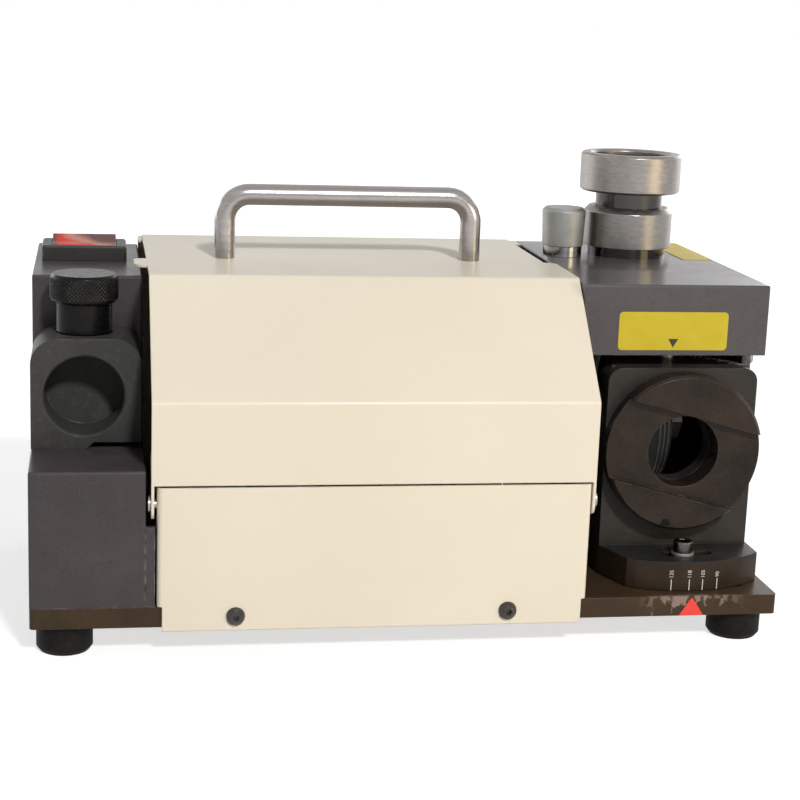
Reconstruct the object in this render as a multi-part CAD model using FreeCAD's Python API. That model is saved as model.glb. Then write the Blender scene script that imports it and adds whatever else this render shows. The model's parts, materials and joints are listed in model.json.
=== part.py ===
import FreeCAD, Part
import math
import os
from FreeCAD import Vector

# A bench drill bit sharpener. A motor under a hinged lid turns a bevelled wheel in the right
# housing. A drill in its chuck is set to length in the left block, pointed through the swivelling
# front port, and thinned at its web through the sprung top port.
# Everything is drawn from the base plate's front left bottom corner: X right, Y back, Z up.
# Each piece is moved at the end, so that the origin is the middle of the footprint on the bench.

# Base plate and feet
plate_width = 320.0
plate_depth = 172.0
plate_thick = 8.8
plate_corner = 2.0
foot_height = 13.0
foot_radius = 11.7
foot_inset = 14.0
foot_recess = 8.0
m5_radius = 2.5
m4_radius = 2.0

# Sheet covers, painted housings and running fits
sheet = 1.2
bend_radius = 1.0
wall = 2.5
edge_round = 1.2
slide_gap = 0.05
free_gap = 0.3

# Left housing: a box with a ledge in front of its taller rear part
left_width = 47.0
left_flange = 50.8
left_flange_top = 43.0
ledge_height = 66.5
left_step = 72.0
left_top = 135.0

# Setting block on the ledge, with its clamping knob
block_width = 46.0
block_front = 38.0
block_top = 113.5
block_corner = 11.0
block_bore = 16.8
block_bore_depth = 21.5
block_bore_height = 89.2
block_relief_left = 23.3
block_relief_rise = 2.8
block_relief_depth = 10.0
knob_y = 57.0
knob_head_radius = 14.0
knob_shank_radius = 11.8
knob_head_bottom = 126.5
knob_top = 138.5
clamp_travel = 3.0
clamp_pin_radius = 2.4

# Switch on the left housing's top, and the cable entry at its back
switch_width = 38.0
switch_depth = 26.0
switch_front = 114.0
switch_rise = 6.9
rocker_width = 28.6
rocker_depth = 19.4
rocker_tilt = 10.0
gland_height = 38.0
gland_thread = 8.0
gland_flange = 11.0
gland_cap = 9.2
gland_nose = 6.4
gland_bore = 3.6
gland_reach = 15.0

# Folded covers between the two housings
panel_left = 51.5
panel_right = 233.7
panel_bottom = -1.6
panel_top = 59.7
panel_flange = 16.0
panel_screw_x = (84.0, 199.5)
panel_screw_z = 4.5
lid_left = 49.1
lid_right = 235.2
lid_rear_right = 230.0
lid_seam = 60.6
lid_bend = 95.0
lid_top = 140.4
lid_top_front = 44.7
lid_back = 166.0
ear_top = 72.0
ear_depth = 10.5
ear_round = 6.0
hinge_y = 3.6
hinge_z = 52.0
hinge_pin_radius = 2.0
tab_reach = 5.6
tab_y = (68.5, 88.5)
handle_rod = 4.75
handle_x = 140.0
handle_spacing = 112.0
handle_y = 94.0
handle_top = 173.6
handle_bend = 11.0

# Right housing with its overhang, the swivelling front port and the guide disc
right_left = 235.6
right_front = 36.0
right_top = 139.0
overhang_bottom = 107.8
guard_front = 58.0
shelf_back = 74.0
shelf_flange = 12.0
inner_wall_left = 227.0
inner_wall_thick = 2.0
inner_wall_foot = 8.0
pivot_x = 282.0
pivot_y = 60.6
drill_height = 66.4
chuck_bore = 16.0
bracket_half_width = 34.0
bracket_front = 33.0
bracket_thick = 15.0
bracket_top = 102.5
bracket_corner = 6.0
scale_plate_thick = 6.0
scale_plate_radius = 32.0
scale_plate_setback = 6.0
arm_radius = 10.0
foot_arc_radius = 54.2
foot_top = 22.0
foot_left_angle = -25.0
foot_right_angle = 40.0
swivel_low = -14.0
swivel_high = 8.5
clamp_slot_radius = 42.3
lower_pivot_radius = 5.0
upper_pivot_radius = 4.0
disc_radius = 35.0
disc_front = 23.0
disc_groove_floor = 27.0
disc_groove_half = 17.9
disc_groove_drop = 1.4
disc_groove_tilt = -15.0
disc_hub_radius = 20.0
disc_hub_length = 6.0

# Bevelled wheel, set so that a drill lying along Y meets its cone at half the point angle
half_point_angle = 59.0
wheel_back = 271.0
wheel_width = 18.0
wheel_rim = 40.0
abrasive_depth = 4.0
shaft_radius = 6.0
wheel_slope = math.tan(math.radians(90.0 - half_point_angle))
shaft_y = pivot_y + wheel_rim - (pivot_x - wheel_back) * wheel_slope
shaft_z = drill_height

# Motor
motor_left = 92.0
motor_right = 182.0
motor_radius = 40.0
motor_wall = 3.5
end_cap_depth = 20.0
bearing_radius = 14.0
bearing_width = 8.0
brush_x = motor_left + 14.0
brush_holder_radius = 6.0
commutator_radius = 14.0

# Top port with its sprung sleeve, and the lock knob beside it
port_x = 281.0
port_y = 130.0
port_neck = 18.5
port_neck_rise = 4.8
port_ring_radius = 21.2
port_ring_height = 18.6
sleeve_radius = 16.0
sleeve_gap = 7.4
sleeve_stem = 13.5
cup_radius = 24.0
cup_height = 18.2
cup_bore = 18.5
cup_depth = 14.0
drill_hole = 10.5
spring_wire = 0.85
spring_turns = 5
lock_x = 247.4
lock_y = 123.0
lock_radius = 10.4
lock_bush_rise = 5.0
lock_height = 18.0

# Removable cover on the right housing's outer side
cover_thick = 2.0

ALONG_X = Vector(1, 0, 0)
ALONG_Y = Vector(0, 1, 0)
ALONG_Z = Vector(0, 0, 1)


# Shape helpers
def block(x, y, z):
    """A plain block between pairs of limits."""
    size = (x[1] - x[0], y[1] - y[0], z[1] - z[0])
    return Part.makeBox(*size, Vector(x[0], y[0], z[0]))


def rod(start, axis, length, radius):
    """A round bar from a point, along an axis."""
    return Part.makeCylinder(radius, length, Vector(*start), axis)


def ring(start, axis, length, outer, inner):
    """A round tube from a point, along an axis."""
    return rod(start, axis, length, outer).cut(rod(start, axis, length, inner))


def rounded_wire(corners, place):
    """A closed outline through (u, v) or (u, v, radius) corners, set in space by place(u, v)."""
    flat = [Vector(corner[0], corner[1], 0) for corner in corners]
    radii = [corner[2] if len(corner) > 2 else 0.0 for corner in corners]
    starts, middles, ends = [], [], []
    for index, here in enumerate(flat):
        back = (flat[index - 1] - here).normalize()
        ahead = (flat[(index + 1) % len(flat)] - here).normalize()
        half = back.getAngle(ahead) / 2
        radius = radii[index]
        if radius == 0.0:
            starts.append(here)
            middles.append(None)
            ends.append(here)
            continue
        reach = radius / math.tan(half)
        inward = (back + ahead).normalize()
        starts.append(here + back * reach)
        middles.append(here + inward * (radius / math.sin(half) - radius))
        ends.append(here + ahead * reach)
    edges = []
    for index in range(len(flat)):
        if middles[index] is not None:
            arc = [place(p.x, p.y) for p in (starts[index], middles[index], ends[index])]
            edges.append(Part.Arc(*arc).toShape())
        following = starts[(index + 1) % len(flat)]
        if (following - ends[index]).Length > 1e-6:
            line = [place(p.x, p.y) for p in (ends[index], following)]
            edges.append(Part.LineSegment(*line).toShape())
    return Part.Wire(edges)


def prism_x(corners, x):
    """An outline of (y, z) corners, drawn out between two X limits."""
    wire = rounded_wire(corners, lambda u, v: Vector(x[0], u, v))
    return Part.Face(wire).extrude(Vector(x[1] - x[0], 0, 0))


def prism_y(corners, y):
    """An outline of (x, z) corners, drawn out between two Y limits."""
    wire = rounded_wire(corners, lambda u, v: Vector(u, y[0], v))
    return Part.Face(wire).extrude(Vector(0, y[1] - y[0], 0))


def prism_z(corners, z):
    """An outline of (x, y) corners, drawn out between two Z limits."""
    wire = rounded_wire(corners, lambda u, v: Vector(u, v, z[0]))
    return Part.Face(wire).extrude(Vector(0, 0, z[1] - z[0]))


def rectangle(u, v, radius=0.0):
    """Corners of a rectangle, all with one radius."""
    return [(u[0], v[0], radius), (u[1], v[0], radius), (u[1], v[1], radius), (u[0], v[1], radius)]


def turned_z(profile, x, y):
    """A (radius, z) profile turned about an upright axis."""
    points = [Vector(x + radius, y, height) for radius, height in profile]
    face = Part.Face(Part.makePolygon(points + points[:1]))
    return face.revolve(Vector(x, y, 0), ALONG_Z, 360)


def turned_y(profile, x, z):
    """A (radius, y) profile turned about an axis that runs front to back."""
    points = [Vector(x + radius, along, z) for radius, along in profile]
    face = Part.Face(Part.makePolygon(points + points[:1]))
    return face.revolve(Vector(x, 0, z), ALONG_Y, 360)


def turned_x(profile):
    """A (radius, x) profile turned about the motor shaft's axis."""
    points = [Vector(along, shaft_y, shaft_z + radius) for radius, along in profile]
    face = Part.Face(Part.makePolygon(points + points[:1]))
    return face.revolve(Vector(0, shaft_y, shaft_z), ALONG_X, 360)


def folded_sheet(path):
    """Outline of a sheet bent one way: path is its outer face, and the sheet lies to its right."""
    flat = [Vector(u, v, 0) for u, v in path]
    inner = []
    for index, here in enumerate(flat):
        sides = []
        if index > 0:
            sides.append((here - flat[index - 1]).normalize())
        if index < len(flat) - 1:
            sides.append((flat[index + 1] - here).normalize())
        normals = [Vector(side.y, -side.x, 0) for side in sides]
        middle = sum(normals[1:], normals[0]).normalize()
        inner.append(here + middle * (sheet / middle.dot(normals[0])))
    last = len(flat) - 1

    def corner(point, index, radius):
        return (point.x, point.y, 0.0 if index in (0, last) else radius)

    outside = [corner(p, i, bend_radius + sheet) for i, p in enumerate(flat)]
    inside = [corner(p, i, bend_radius) for i, p in enumerate(inner)]
    return outside + inside[::-1]


def two_arcs(start, start_heading, end, end_heading):
    """Two arcs that join two points and follow the headings at both."""
    across = end - start
    both = start_heading + end_heading
    bend = 2 * (1 - start_heading.dot(end_heading))
    along = across.dot(both)
    reach = (math.sqrt(along ** 2 + bend * across.dot(across)) - along) / bend
    knees = (start + start_heading * reach, end - end_heading * reach)
    middle = (knees[0] + knees[1]) * 0.5
    arcs = []
    for first, knee, last in ((start, knees[0], middle), (middle, knees[1], end)):
        chord_middle = (first + last) * 0.5
        half_turn = (knee - first).getAngle(last - first)
        crown = chord_middle + (knee - chord_middle) * (math.tan(half_turn / 2) / math.tan(half_turn))
        arcs.append(Part.Arc(first, crown, last).toShape())
    return arcs


def hexagon(radius, u, v):
    """Corners of a hexagon with the given flat-to-centre distance."""
    reach = radius / math.cos(math.pi / 6)
    turns = [math.pi / 3 * step for step in range(6)]
    return [(u + reach * math.cos(turn), v + reach * math.sin(turn)) for turn in turns]


def about_pivot(angle, radius):
    """A point on an arc about the swivel axis; angle 0 is towards the operator."""
    turn = math.radians(angle)
    return (pivot_x + radius * math.sin(turn), pivot_y - radius * math.cos(turn))


def soften(shape, radius, chosen):
    """Round the edges that chosen(edge) picks."""
    return shape.makeFillet(radius, [edge for edge in shape.Edges if chosen(edge)])


# Base plate, feet and their screws
foot_places = [
    (x, y)
    for x in (foot_inset, plate_width - foot_inset)
    for y in (foot_inset, plate_depth - foot_inset)
]
clamp_place = about_pivot(0.0, clamp_slot_radius)
panel_screw_depth = 12.0


def base_plate():
    plate = prism_z(rectangle((0, plate_width), (0, plate_depth), plate_corner), (0, plate_thick))
    for x, y in foot_places:
        plate = plate.cut(rod((x, y, 0), ALONG_Z, plate_thick, m5_radius))
    plate = plate.cut(rod((*clamp_place, 0), ALONG_Z, plate_thick, m5_radius))
    plate = plate.cut(rod((pivot_x, pivot_y, 0), ALONG_Z, plate_thick, lower_pivot_radius))
    for x in panel_screw_x:
        for y in (0, plate_depth - panel_screw_depth):
            plate = plate.cut(rod((x, y, panel_screw_z), ALONG_Y, panel_screw_depth, m4_radius))
    return plate


def rubber_feet():
    seat = foot_recess - foot_height
    profile = [
        (m5_radius, 0), (foot_radius, 0), (foot_radius, -foot_height + 2),
        (foot_radius - 1.5, -foot_height), (foot_radius - 6, -foot_height),
        (foot_radius - 6, seat), (m5_radius, seat),
    ]
    return Part.makeCompound([turned_z(profile, x, y) for x, y in foot_places])


def foot_screws():
    seat = foot_recess - foot_height
    profile = [(0, seat - 3.2), (4.0, seat - 3.2), (4.7, seat), (m5_radius, seat),
               (m5_radius, plate_thick - 1), (0, plate_thick - 1)]
    return Part.makeCompound([turned_z(profile, x, y) for x, y in foot_places])


# Left housing, setting block and clamping knob
block_x = (0.0, block_width)
block_middle = block_width / 2 - 0.8
shank_bottom = block_top - 0.6
counterbore_floor = shank_bottom - clamp_travel - 0.6
pin_tip = block_bore_height + block_bore + 0.3
pin_top = knob_head_bottom - 4.0


def left_outline(inset):
    floor = plate_thick - (1.0 if inset else 0.0)
    return [
        (inset, floor), (inset, ledge_height - inset, edge_round),
        (left_step + inset, ledge_height - inset), (left_step + inset, left_top - inset, edge_round),
        (plate_depth - inset, left_top - inset, edge_round), (plate_depth - inset, floor),
    ]


def left_housing():
    shell = prism_x(left_outline(0.0), (0, left_width))

    def side_edge(edge):
        low = min(vertex.Z for vertex in edge.Vertexes)
        sides = {round(vertex.X, 3) for vertex in edge.Vertexes}
        return low > plate_thick + 0.1 and len(sides) == 1

    shell = soften(shell, edge_round * 0.6, side_edge)
    shell = shell.cut(prism_x(left_outline(wall), (wall, left_width - wall)))
    flange = block((left_width, left_flange), (0, wall), (plate_thick, left_flange_top))
    shell = shell.fuse(flange).removeSplitter()
    opening = rectangle(switch_well_x, switch_well_y, 1.0)
    shell = shell.cut(prism_z(opening, (left_top - 2 * wall, left_top + 1)))
    entry = rod((gland_x, plate_depth - 2 * wall, gland_height), ALONG_Y, 3 * wall, gland_thread)
    return shell.cut(entry)


def foot_relief():
    """Low step under the right half of the block's front, with a ramp at its left end."""
    outline = [
        (block_relief_left, ledge_height), (block_x[1] + 1, ledge_height),
        (block_x[1] + 1, ledge_height + block_relief_rise),
        (block_relief_left + block_relief_rise, ledge_height + block_relief_rise),
    ]
    return prism_y(outline, (block_front - 1, block_front + block_relief_depth))


def setting_block():
    outline = [
        (block_x[0], ledge_height), (block_x[1], ledge_height),
        (block_x[1], block_top, block_corner), (block_x[0], block_top, block_corner),
    ]
    body = prism_y(outline, (block_front, left_step))
    mouth = 0.8
    bore = [
        (0, block_front - 1), (block_bore + mouth + 1, block_front - 1),
        (block_bore, block_front + mouth), (block_bore, block_front + block_bore_depth),
        (0, block_front + block_bore_depth),
    ]
    body = body.cut(turned_y(bore, block_middle, block_bore_height)).cut(foot_relief())
    seat_radius = knob_shank_radius + free_gap
    shank_seat = rod((block_middle, knob_y, counterbore_floor), ALONG_Z, block_corner, seat_radius)
    crown = block_bore_height + block_bore - 0.5
    pin_hole = rod((block_middle, knob_y, crown), ALONG_Z, block_bore, clamp_pin_radius + slide_gap)
    return body.cut(shank_seat).cut(pin_hole)


def clamp_pin():
    profile = [
        (0, pin_tip), (clamp_pin_radius - 0.6, pin_tip), (clamp_pin_radius, pin_tip + 0.8),
        (clamp_pin_radius, pin_top), (0, pin_top),
    ]
    return turned_z(profile, block_middle, knob_y)


def setting_knob():
    bevel = 1.0
    hole = clamp_pin_radius + slide_gap
    profile = [
        (hole, shank_bottom), (knob_shank_radius - bevel, shank_bottom),
        (knob_shank_radius, shank_bottom + bevel), (knob_shank_radius, knob_head_bottom),
        (knob_head_radius - bevel, knob_head_bottom), (knob_head_radius, knob_head_bottom + bevel),
        (knob_head_radius, knob_top - bevel), (knob_head_radius - bevel, knob_top),
        (0, knob_top), (0, pin_top + 0.2), (hole, pin_top + 0.2),
    ]
    return turned_z(profile, block_middle, knob_y)


# Switch and cable entry
switch_x = left_width / 2 - 1.5
switch_y = switch_front + switch_depth / 2
rocker_x = (switch_x - rocker_width / 2, switch_x + rocker_width / 2)
rocker_pin_radius = 1.5
rocker_pin_reach = 2.0
switch_well_x = (rocker_x[0] - 2.0, rocker_x[1] + 2.0)
switch_well_y = (switch_y - rocker_depth / 2 - 1.5, switch_y + rocker_depth / 2 + 1.5)
rocker_pivot_z = left_top + switch_rise - 2.0
gland_x = left_width / 2


def switch_frame():
    top = left_top + switch_rise
    half = (switch_width / 2, switch_depth / 2)
    bezel_x = (switch_x - half[0], switch_x + half[0])
    bezel_y = (switch_y - half[1], switch_y + half[1])
    bezel = prism_z(rectangle(bezel_x, bezel_y, 2.0), (left_top, top))
    bezel = soften(bezel, 1.0, lambda edge: min(v.Z for v in edge.Vertexes) > top - 0.01)
    body = prism_z(rectangle(switch_well_x, switch_well_y, 1.0), (left_top - 22, left_top))
    well_x = (rocker_x[0] - free_gap, rocker_x[1] + free_gap)
    well_y = (switch_y - rocker_depth / 2 - free_gap, switch_y + rocker_depth / 2 + free_gap)
    well = block(well_x, well_y, (left_top - 8, top + 1))
    pivot_hole = rod((rocker_x[0] - rocker_pin_reach, switch_y, rocker_pivot_z), ALONG_X,
                     rocker_width + 2 * rocker_pin_reach, rocker_pin_radius + slide_gap)
    return bezel.fuse(body).removeSplitter().cut(well).cut(pivot_hole)


def switch_rocker():
    """Two flats that meet in a shallow V, tilted with the rear edge standing up."""
    half = rocker_depth / 2 - 1.0
    flat_drop = math.tan(math.radians(rocker_tilt)) * half
    crown = 2.2
    skirt = 5.0
    outline = [
        (-half, crown + flat_drop, 0.8), (0, crown), (half, crown + flat_drop, 0.8),
        (half * 0.8, -skirt, 1.0), (-half * 0.8, -skirt, 1.0),
    ]
    shifted = [(corner[0] + switch_y, corner[1] + rocker_pivot_z, *corner[2:]) for corner in outline]
    rocker = prism_x(shifted, rocker_x)
    rocker.rotate(Vector(0, switch_y, rocker_pivot_z), ALONG_X, rocker_tilt)
    pin_length = rocker_pin_reach - slide_gap
    for x, outward in ((rocker_x[0], -1), (rocker_x[1], 1)):
        pin = rod((x, switch_y, rocker_pivot_z), ALONG_X * outward, pin_length, rocker_pin_radius)
        rocker = rocker.fuse(pin)
    return rocker.removeSplitter()


def cable_gland():
    inner, flange_end = plate_depth - 10, plate_depth + 5
    cap_end, nose_end = plate_depth + 9, plate_depth + gland_reach
    profile = [
        (gland_bore, inner), (gland_thread, inner), (gland_thread, plate_depth),
        (gland_flange, plate_depth), (gland_flange, flange_end), (gland_cap, flange_end),
        (gland_cap, cap_end), (gland_nose, nose_end), (gland_bore, nose_end),
    ]
    return turned_y(profile, gland_x, gland_height)


def gland_nut():
    inside = plate_depth - wall
    thick = 4.5
    nut = prism_y(hexagon(gland_flange, gland_x, gland_height), (inside - thick, inside))
    return nut.cut(rod((gland_x, inside - thick, gland_height), ALONG_Y, thick, gland_thread))


# Folded sheet covers
def lower_front_panel():
    plan = folded_sheet([
        (panel_left, panel_flange), (panel_left, -sheet),
        (panel_right, -sheet), (panel_right, panel_flange),
    ][::-1])
    upper = prism_z(plan, (plate_thick + 0.2, panel_top))
    corner = bend_radius + sheet
    skirt_height = (panel_bottom, plate_thick + 0.2)
    skirt = block((panel_left + corner, panel_right - corner), (-sheet, 0), skirt_height)
    panel = upper.fuse(skirt).removeSplitter()
    for x in panel_screw_x:
        panel = panel.cut(rod((x, -sheet, panel_screw_z), ALONG_Y, sheet, m4_radius))
    for x in (panel_left, panel_right - sheet):
        panel = panel.cut(rod((x, hinge_y, hinge_z), ALONG_X, sheet, hinge_pin_radius))
    return panel


def panel_screws():
    """Button heads on the front panel's and the rear panel's lower edges."""
    head, rise, socket = 4.0, 2.3, 1.25
    screws = []
    for x in panel_screw_x:
        for face, inward in ((-sheet, 1), (plate_depth + sheet, -1)):
            shank_end = face + inward * (sheet + panel_screw_depth - 1)
            profile = [(0, face - inward * rise), (head * 0.55, face - inward * rise),
                       (head * 0.9, face - inward * rise * 0.55), (head, face),
                       (m4_radius, face), (m4_radius, shank_end), (0, shank_end)]
            screw = turned_y(profile, x, panel_screw_z)
            depth = sorted((face - inward * (rise + 1), face - inward * 0.6))
            screws.append(screw.cut(prism_y(hexagon(socket, x, panel_screw_z), depth)))
    return Part.makeCompound(screws)


def rear_panel():
    """Back cover with a lip under the lid's rear edge and two rows of cooling slots."""
    back = plate_depth + sheet
    lip_top = lid_top - sheet - 0.1
    lip = folded_sheet([(back, plate_thick + 0.2), (back, lip_top), (lid_back - 10, lip_top)][::-1])
    span = (left_width + free_gap, right_left - free_gap)
    panel = prism_x(lip, span)
    skirt = block(span, (plate_depth, back), (0, plate_thick + 0.2))
    panel = panel.fuse(skirt).removeSplitter()
    slot_count, slot_width, slot_height, slot_pitch = 10, 4.0, 26.0, 9.0
    first = (lid_left + lid_right - slot_pitch * (slot_count - 1)) / 2
    for low in (44.0, 84.0):
        for index in range(slot_count):
            middle = first + slot_pitch * index
            span = (middle - slot_width / 2, middle + slot_width / 2)
            outline = rectangle(span, (low, low + slot_height), slot_width / 2 - 0.01)
            panel = panel.cut(prism_y(outline, (plate_depth - 1, back + 1)))
    for x in panel_screw_x:
        panel = panel.cut(rod((x, plate_depth, panel_screw_z), ALONG_Y, sheet, m4_radius))
    return panel


def lid_ear(x):
    """A side flap folded back at the lid's lower corner, rounded about its hinge pin."""
    outline = [
        (-sheet, hinge_z - ear_round, ear_round - 2), (ear_depth, hinge_z - ear_round, ear_round),
        (ear_depth, ear_top, 3.0), (-sheet, ear_top),
    ]
    flap = prism_x(outline, (x, x + sheet))
    return flap.cut(rod((x, hinge_y, hinge_z), ALONG_X, sheet, hinge_pin_radius + slide_gap))


def lid():
    path = [
        (-sheet, lid_seam), (-sheet, lid_bend), (lid_top_front, lid_top), (lid_back, lid_top),
    ]
    cover = prism_x(folded_sheet(path), (lid_left, lid_right))
    for x in (lid_left, lid_right - sheet):
        cover = cover.fuse(lid_ear(x))
    rounded = (tab_y[1] - tab_y[0]) * 0.22
    tab = [
        (lid_left + 1, tab_y[0]), (lid_left + 1, tab_y[1]),
        (lid_left - tab_reach, tab_y[1], rounded), (lid_left - tab_reach, tab_y[0], rounded),
    ]
    cover = cover.fuse(prism_z(tab, (lid_top - sheet, lid_top))).removeSplitter()
    behind_tab = block((lid_rear_right, lid_right), (tab_y[1], lid_back), (lid_top - sheet, lid_top))
    cover = cover.cut(behind_tab)

    def tab_corner(edge):
        return all(abs(v.X - lid_right) + abs(v.Y - tab_y[1]) < 0.01 for v in edge.Vertexes)

    cover = soften(cover, rounded, tab_corner)
    for x in handle_feet:
        cover = cover.cut(rod((x, handle_y, lid_top - 2 * sheet), ALONG_Z, 3 * sheet, m5_radius))
    return cover


def lid_hinge_pins():
    """Shouldered rivets from the front panel's side flanges through the lid's ears."""
    head, head_thick = 3.6, 1.0
    pins = []
    for inner, outward in ((panel_left + sheet, -1), (panel_right - sheet, 1)):
        ear_face = lid_left if outward < 0 else lid_right
        shank = abs(ear_face + outward * 0.2 - inner)
        direction = ALONG_X * outward
        pin = rod((inner, hinge_y, hinge_z), direction, shank, hinge_pin_radius)
        cap = rod((inner + outward * shank, hinge_y, hinge_z), direction, head_thick, head)
        pins.append(pin.fuse(cap).removeSplitter())
    return Part.makeCompound(pins)


handle_feet = (handle_x - handle_spacing / 2, handle_x + handle_spacing / 2)
handle_screw_reach = 12.0


def carry_handle():
    """A round bar bent twice: two arcs join its legs to the grip."""
    left, right = handle_feet
    grip = handle_top - handle_rod
    turn = handle_bend
    knee = turn * (1 - math.cos(math.pi / 4))

    def at(x, z):
        return Vector(x, handle_y, z)

    edges = [
        Part.LineSegment(at(left, lid_top), at(left, grip - turn)),
        Part.Arc(at(left, grip - turn), at(left + knee, grip - knee), at(left + turn, grip)),
        Part.LineSegment(at(left + turn, grip), at(right - turn, grip)),
        Part.Arc(at(right - turn, grip), at(right - knee, grip - knee), at(right, grip - turn)),
        Part.LineSegment(at(right, grip - turn), at(right, lid_top)),
    ]
    path = Part.Wire([edge.toShape() for edge in edges])
    section = Part.Wire(Part.makeCircle(handle_rod, at(left, lid_top), ALONG_Z))
    bar = path.makePipeShell([section], True, True)
    for x in handle_feet:
        bar = bar.cut(rod((x, handle_y, lid_top), ALONG_Z, handle_screw_reach, m5_radius))
    return bar


def handle_screws():
    under = lid_top - sheet
    profile = [(0, under - 4.6), (4.2, under - 4.6), (4.2, under - 1), (6.5, under - 1),
               (6.5, under), (m5_radius, under), (m5_radius, lid_top + handle_screw_reach - 1),
               (0, lid_top + handle_screw_reach - 1)]
    return Part.makeCompound([turned_z(profile, x, handle_y) for x in handle_feet])


# Right housing, wheel guard and its side cover
right_x = (right_left, plate_width)
window_y = (66.0, 150.0)
window_z = (24.0, 98.0)
cover_lap = 7.0
cover_screw_inset = 3.5
lock_spindle = 4.0


def cover_screw_places():
    y = (window_y[0] - cover_screw_inset, window_y[1] + cover_screw_inset)
    z = (window_z[0] - cover_screw_inset, window_z[1] + cover_screw_inset)
    return [(a, b) for a in y for b in z]


def wheel_guard():
    """Sheet folded round the wheel: two side walls and a back wall, open to the front."""
    outside = rectangle(right_x, (guard_front, plate_depth))
    inside = rectangle((right_left + wall, plate_width - wall), (guard_front - 1, plate_depth - wall))
    height = (plate_thick, overhang_bottom)
    guard = prism_z(outside, height).cut(prism_z(inside, height))
    shaft_hole = rod((right_left, shaft_y, shaft_z), ALONG_X, wall, 2 * shaft_radius)
    window = prism_x(rectangle(window_y, window_z, 8.0), (plate_width - wall, plate_width))
    guard = guard.cut(shaft_hole).cut(window)
    for y, z in cover_screw_places():
        guard = guard.cut(rod((plate_width - wall, y, z), ALONG_X, wall, m4_radius))
    return guard


def right_housing():
    """Box on top of the guard, open below: its front hangs over the port."""
    front, back = right_front, plate_depth
    outline = [(front, overhang_bottom), (front, right_top, edge_round), (back, right_top, edge_round),
               (back, overhang_bottom)]
    shell = prism_x(outline, right_x)

    def top_side_edge(edge):
        low = min(vertex.Z for vertex in edge.Vertexes)
        sides = {round(vertex.X, 3) for vertex in edge.Vertexes}
        return low > overhang_bottom + 0.1 and len(sides) == 1

    shell = soften(shell, edge_round * 0.6, top_side_edge)
    hollow_x = (right_left + wall, plate_width - wall)
    hollow_top = right_top - wall
    shell = shell.cut(block(hollow_x, (front + wall, back - wall), (overhang_bottom, hollow_top)))
    shell = shell.cut(rod((port_x, port_y, hollow_top), ALONG_Z, wall, port_neck))
    return shell.cut(rod((lock_x, lock_y, hollow_top), ALONG_Z, wall, lock_spindle + free_gap))


def pivot_shelf():
    """Folded shelf between the overhang's side walls; it holds the upper pivot."""
    x = (right_left + wall, plate_width - wall)
    y = (right_front + wall, shelf_back)
    shelf = block(x, y, (overhang_bottom, overhang_bottom + shelf_flange))
    inside = (x[0] + wall, x[1] - wall)
    shelf = shelf.cut(block(inside, y, (overhang_bottom + wall, overhang_bottom + shelf_flange)))
    return shelf.cut(rod((pivot_x, pivot_y, overhang_bottom), ALONG_Z, wall, upper_pivot_radius))


def inner_wall():
    """Wall on a folded foot: it closes the lid's right end in front of the right housing."""
    lap = 4.0
    front = 3.0
    back, upper_back = guard_front + lap, right_front + lap
    notch = overhang_bottom - lap / 2
    lid_rise = (lid_top - lid_bend) / (lid_top_front + sheet)

    def under_lid(y):
        return lid_bend - lap + (y + sheet) * lid_rise

    outline = [
        (front, plate_thick), (back, plate_thick), (back, notch), (upper_back, notch),
        (upper_back, under_lid(upper_back)), (front, under_lid(front)),
    ]
    inner_wall_right = inner_wall_left + inner_wall_thick
    standing = prism_x(outline, (inner_wall_left, inner_wall_right))
    foot_x = (inner_wall_left - inner_wall_foot, inner_wall_right)
    foot = block(foot_x, (front, back), (plate_thick, plate_thick + inner_wall_thick))
    return standing.fuse(foot).removeSplitter()


def wheel_cover():
    y = (window_y[0] - cover_lap, window_y[1] + cover_lap)
    z = (window_z[0] - cover_lap, window_z[1] + cover_lap)
    plate = prism_x(rectangle(y, z, 5.0), (plate_width, plate_width + cover_thick))
    for y, z in cover_screw_places():
        plate = plate.cut(rod((plate_width, y, z), ALONG_X, cover_thick, m4_radius))
    return plate


def cover_screws():
    face = plate_width + cover_thick
    screws = []
    for y, z in cover_screw_places():
        shank = rod((plate_width - wall, y, z), ALONG_X, wall + cover_thick, m4_radius)
        head = Part.makeCone(3.2, 2.4, 1.6, Vector(face, y, z), ALONG_X)
        screws.append(shank.fuse(head).removeSplitter())
    return Part.makeCompound(screws)


# Swivelling front port
foot_bottom = plate_thick + 0.2
washer_low = foot_top + 0.1
washer_thick = 1.2
washer_radius = 5.0


def bracket_foot():
    """Foot plate: an arc about the swivel axis, a flank to the upright and an arm to the pivot."""
    left = about_pivot(foot_left_angle, foot_arc_radius)
    right = about_pivot(foot_right_angle, foot_arc_radius)
    front = about_pivot((foot_left_angle + foot_right_angle) / 2, foot_arc_radius)
    back = bracket_front + bracket_thick
    facet = (left[0] - 3.6, left[1] + 2.6)
    flank_x = pivot_x - bracket_half_width

    def flat(x, y):
        return Vector(x, y, foot_bottom)

    edges = [
        Part.Arc(flat(*left), flat(*front), flat(*right)),
        Part.LineSegment(flat(*right), flat(right[0], back)),
        Part.LineSegment(flat(right[0], back), flat(pivot_x + arm_radius, pivot_y)),
        Part.Arc(
            flat(pivot_x + arm_radius, pivot_y), flat(pivot_x, pivot_y + arm_radius),
            flat(pivot_x - arm_radius, pivot_y),
        ),
        Part.LineSegment(flat(pivot_x - arm_radius, pivot_y), flat(flank_x, back)),
        Part.LineSegment(flat(flank_x, back), flat(flank_x, bracket_front)),
        Part.LineSegment(flat(flank_x, bracket_front), flat(*facet)),
        Part.LineSegment(flat(*facet), flat(*left)),
    ]
    face = Part.Face(Part.Wire([edge.toShape() for edge in edges]))
    return face.extrude(Vector(0, 0, foot_top - foot_bottom))


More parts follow.
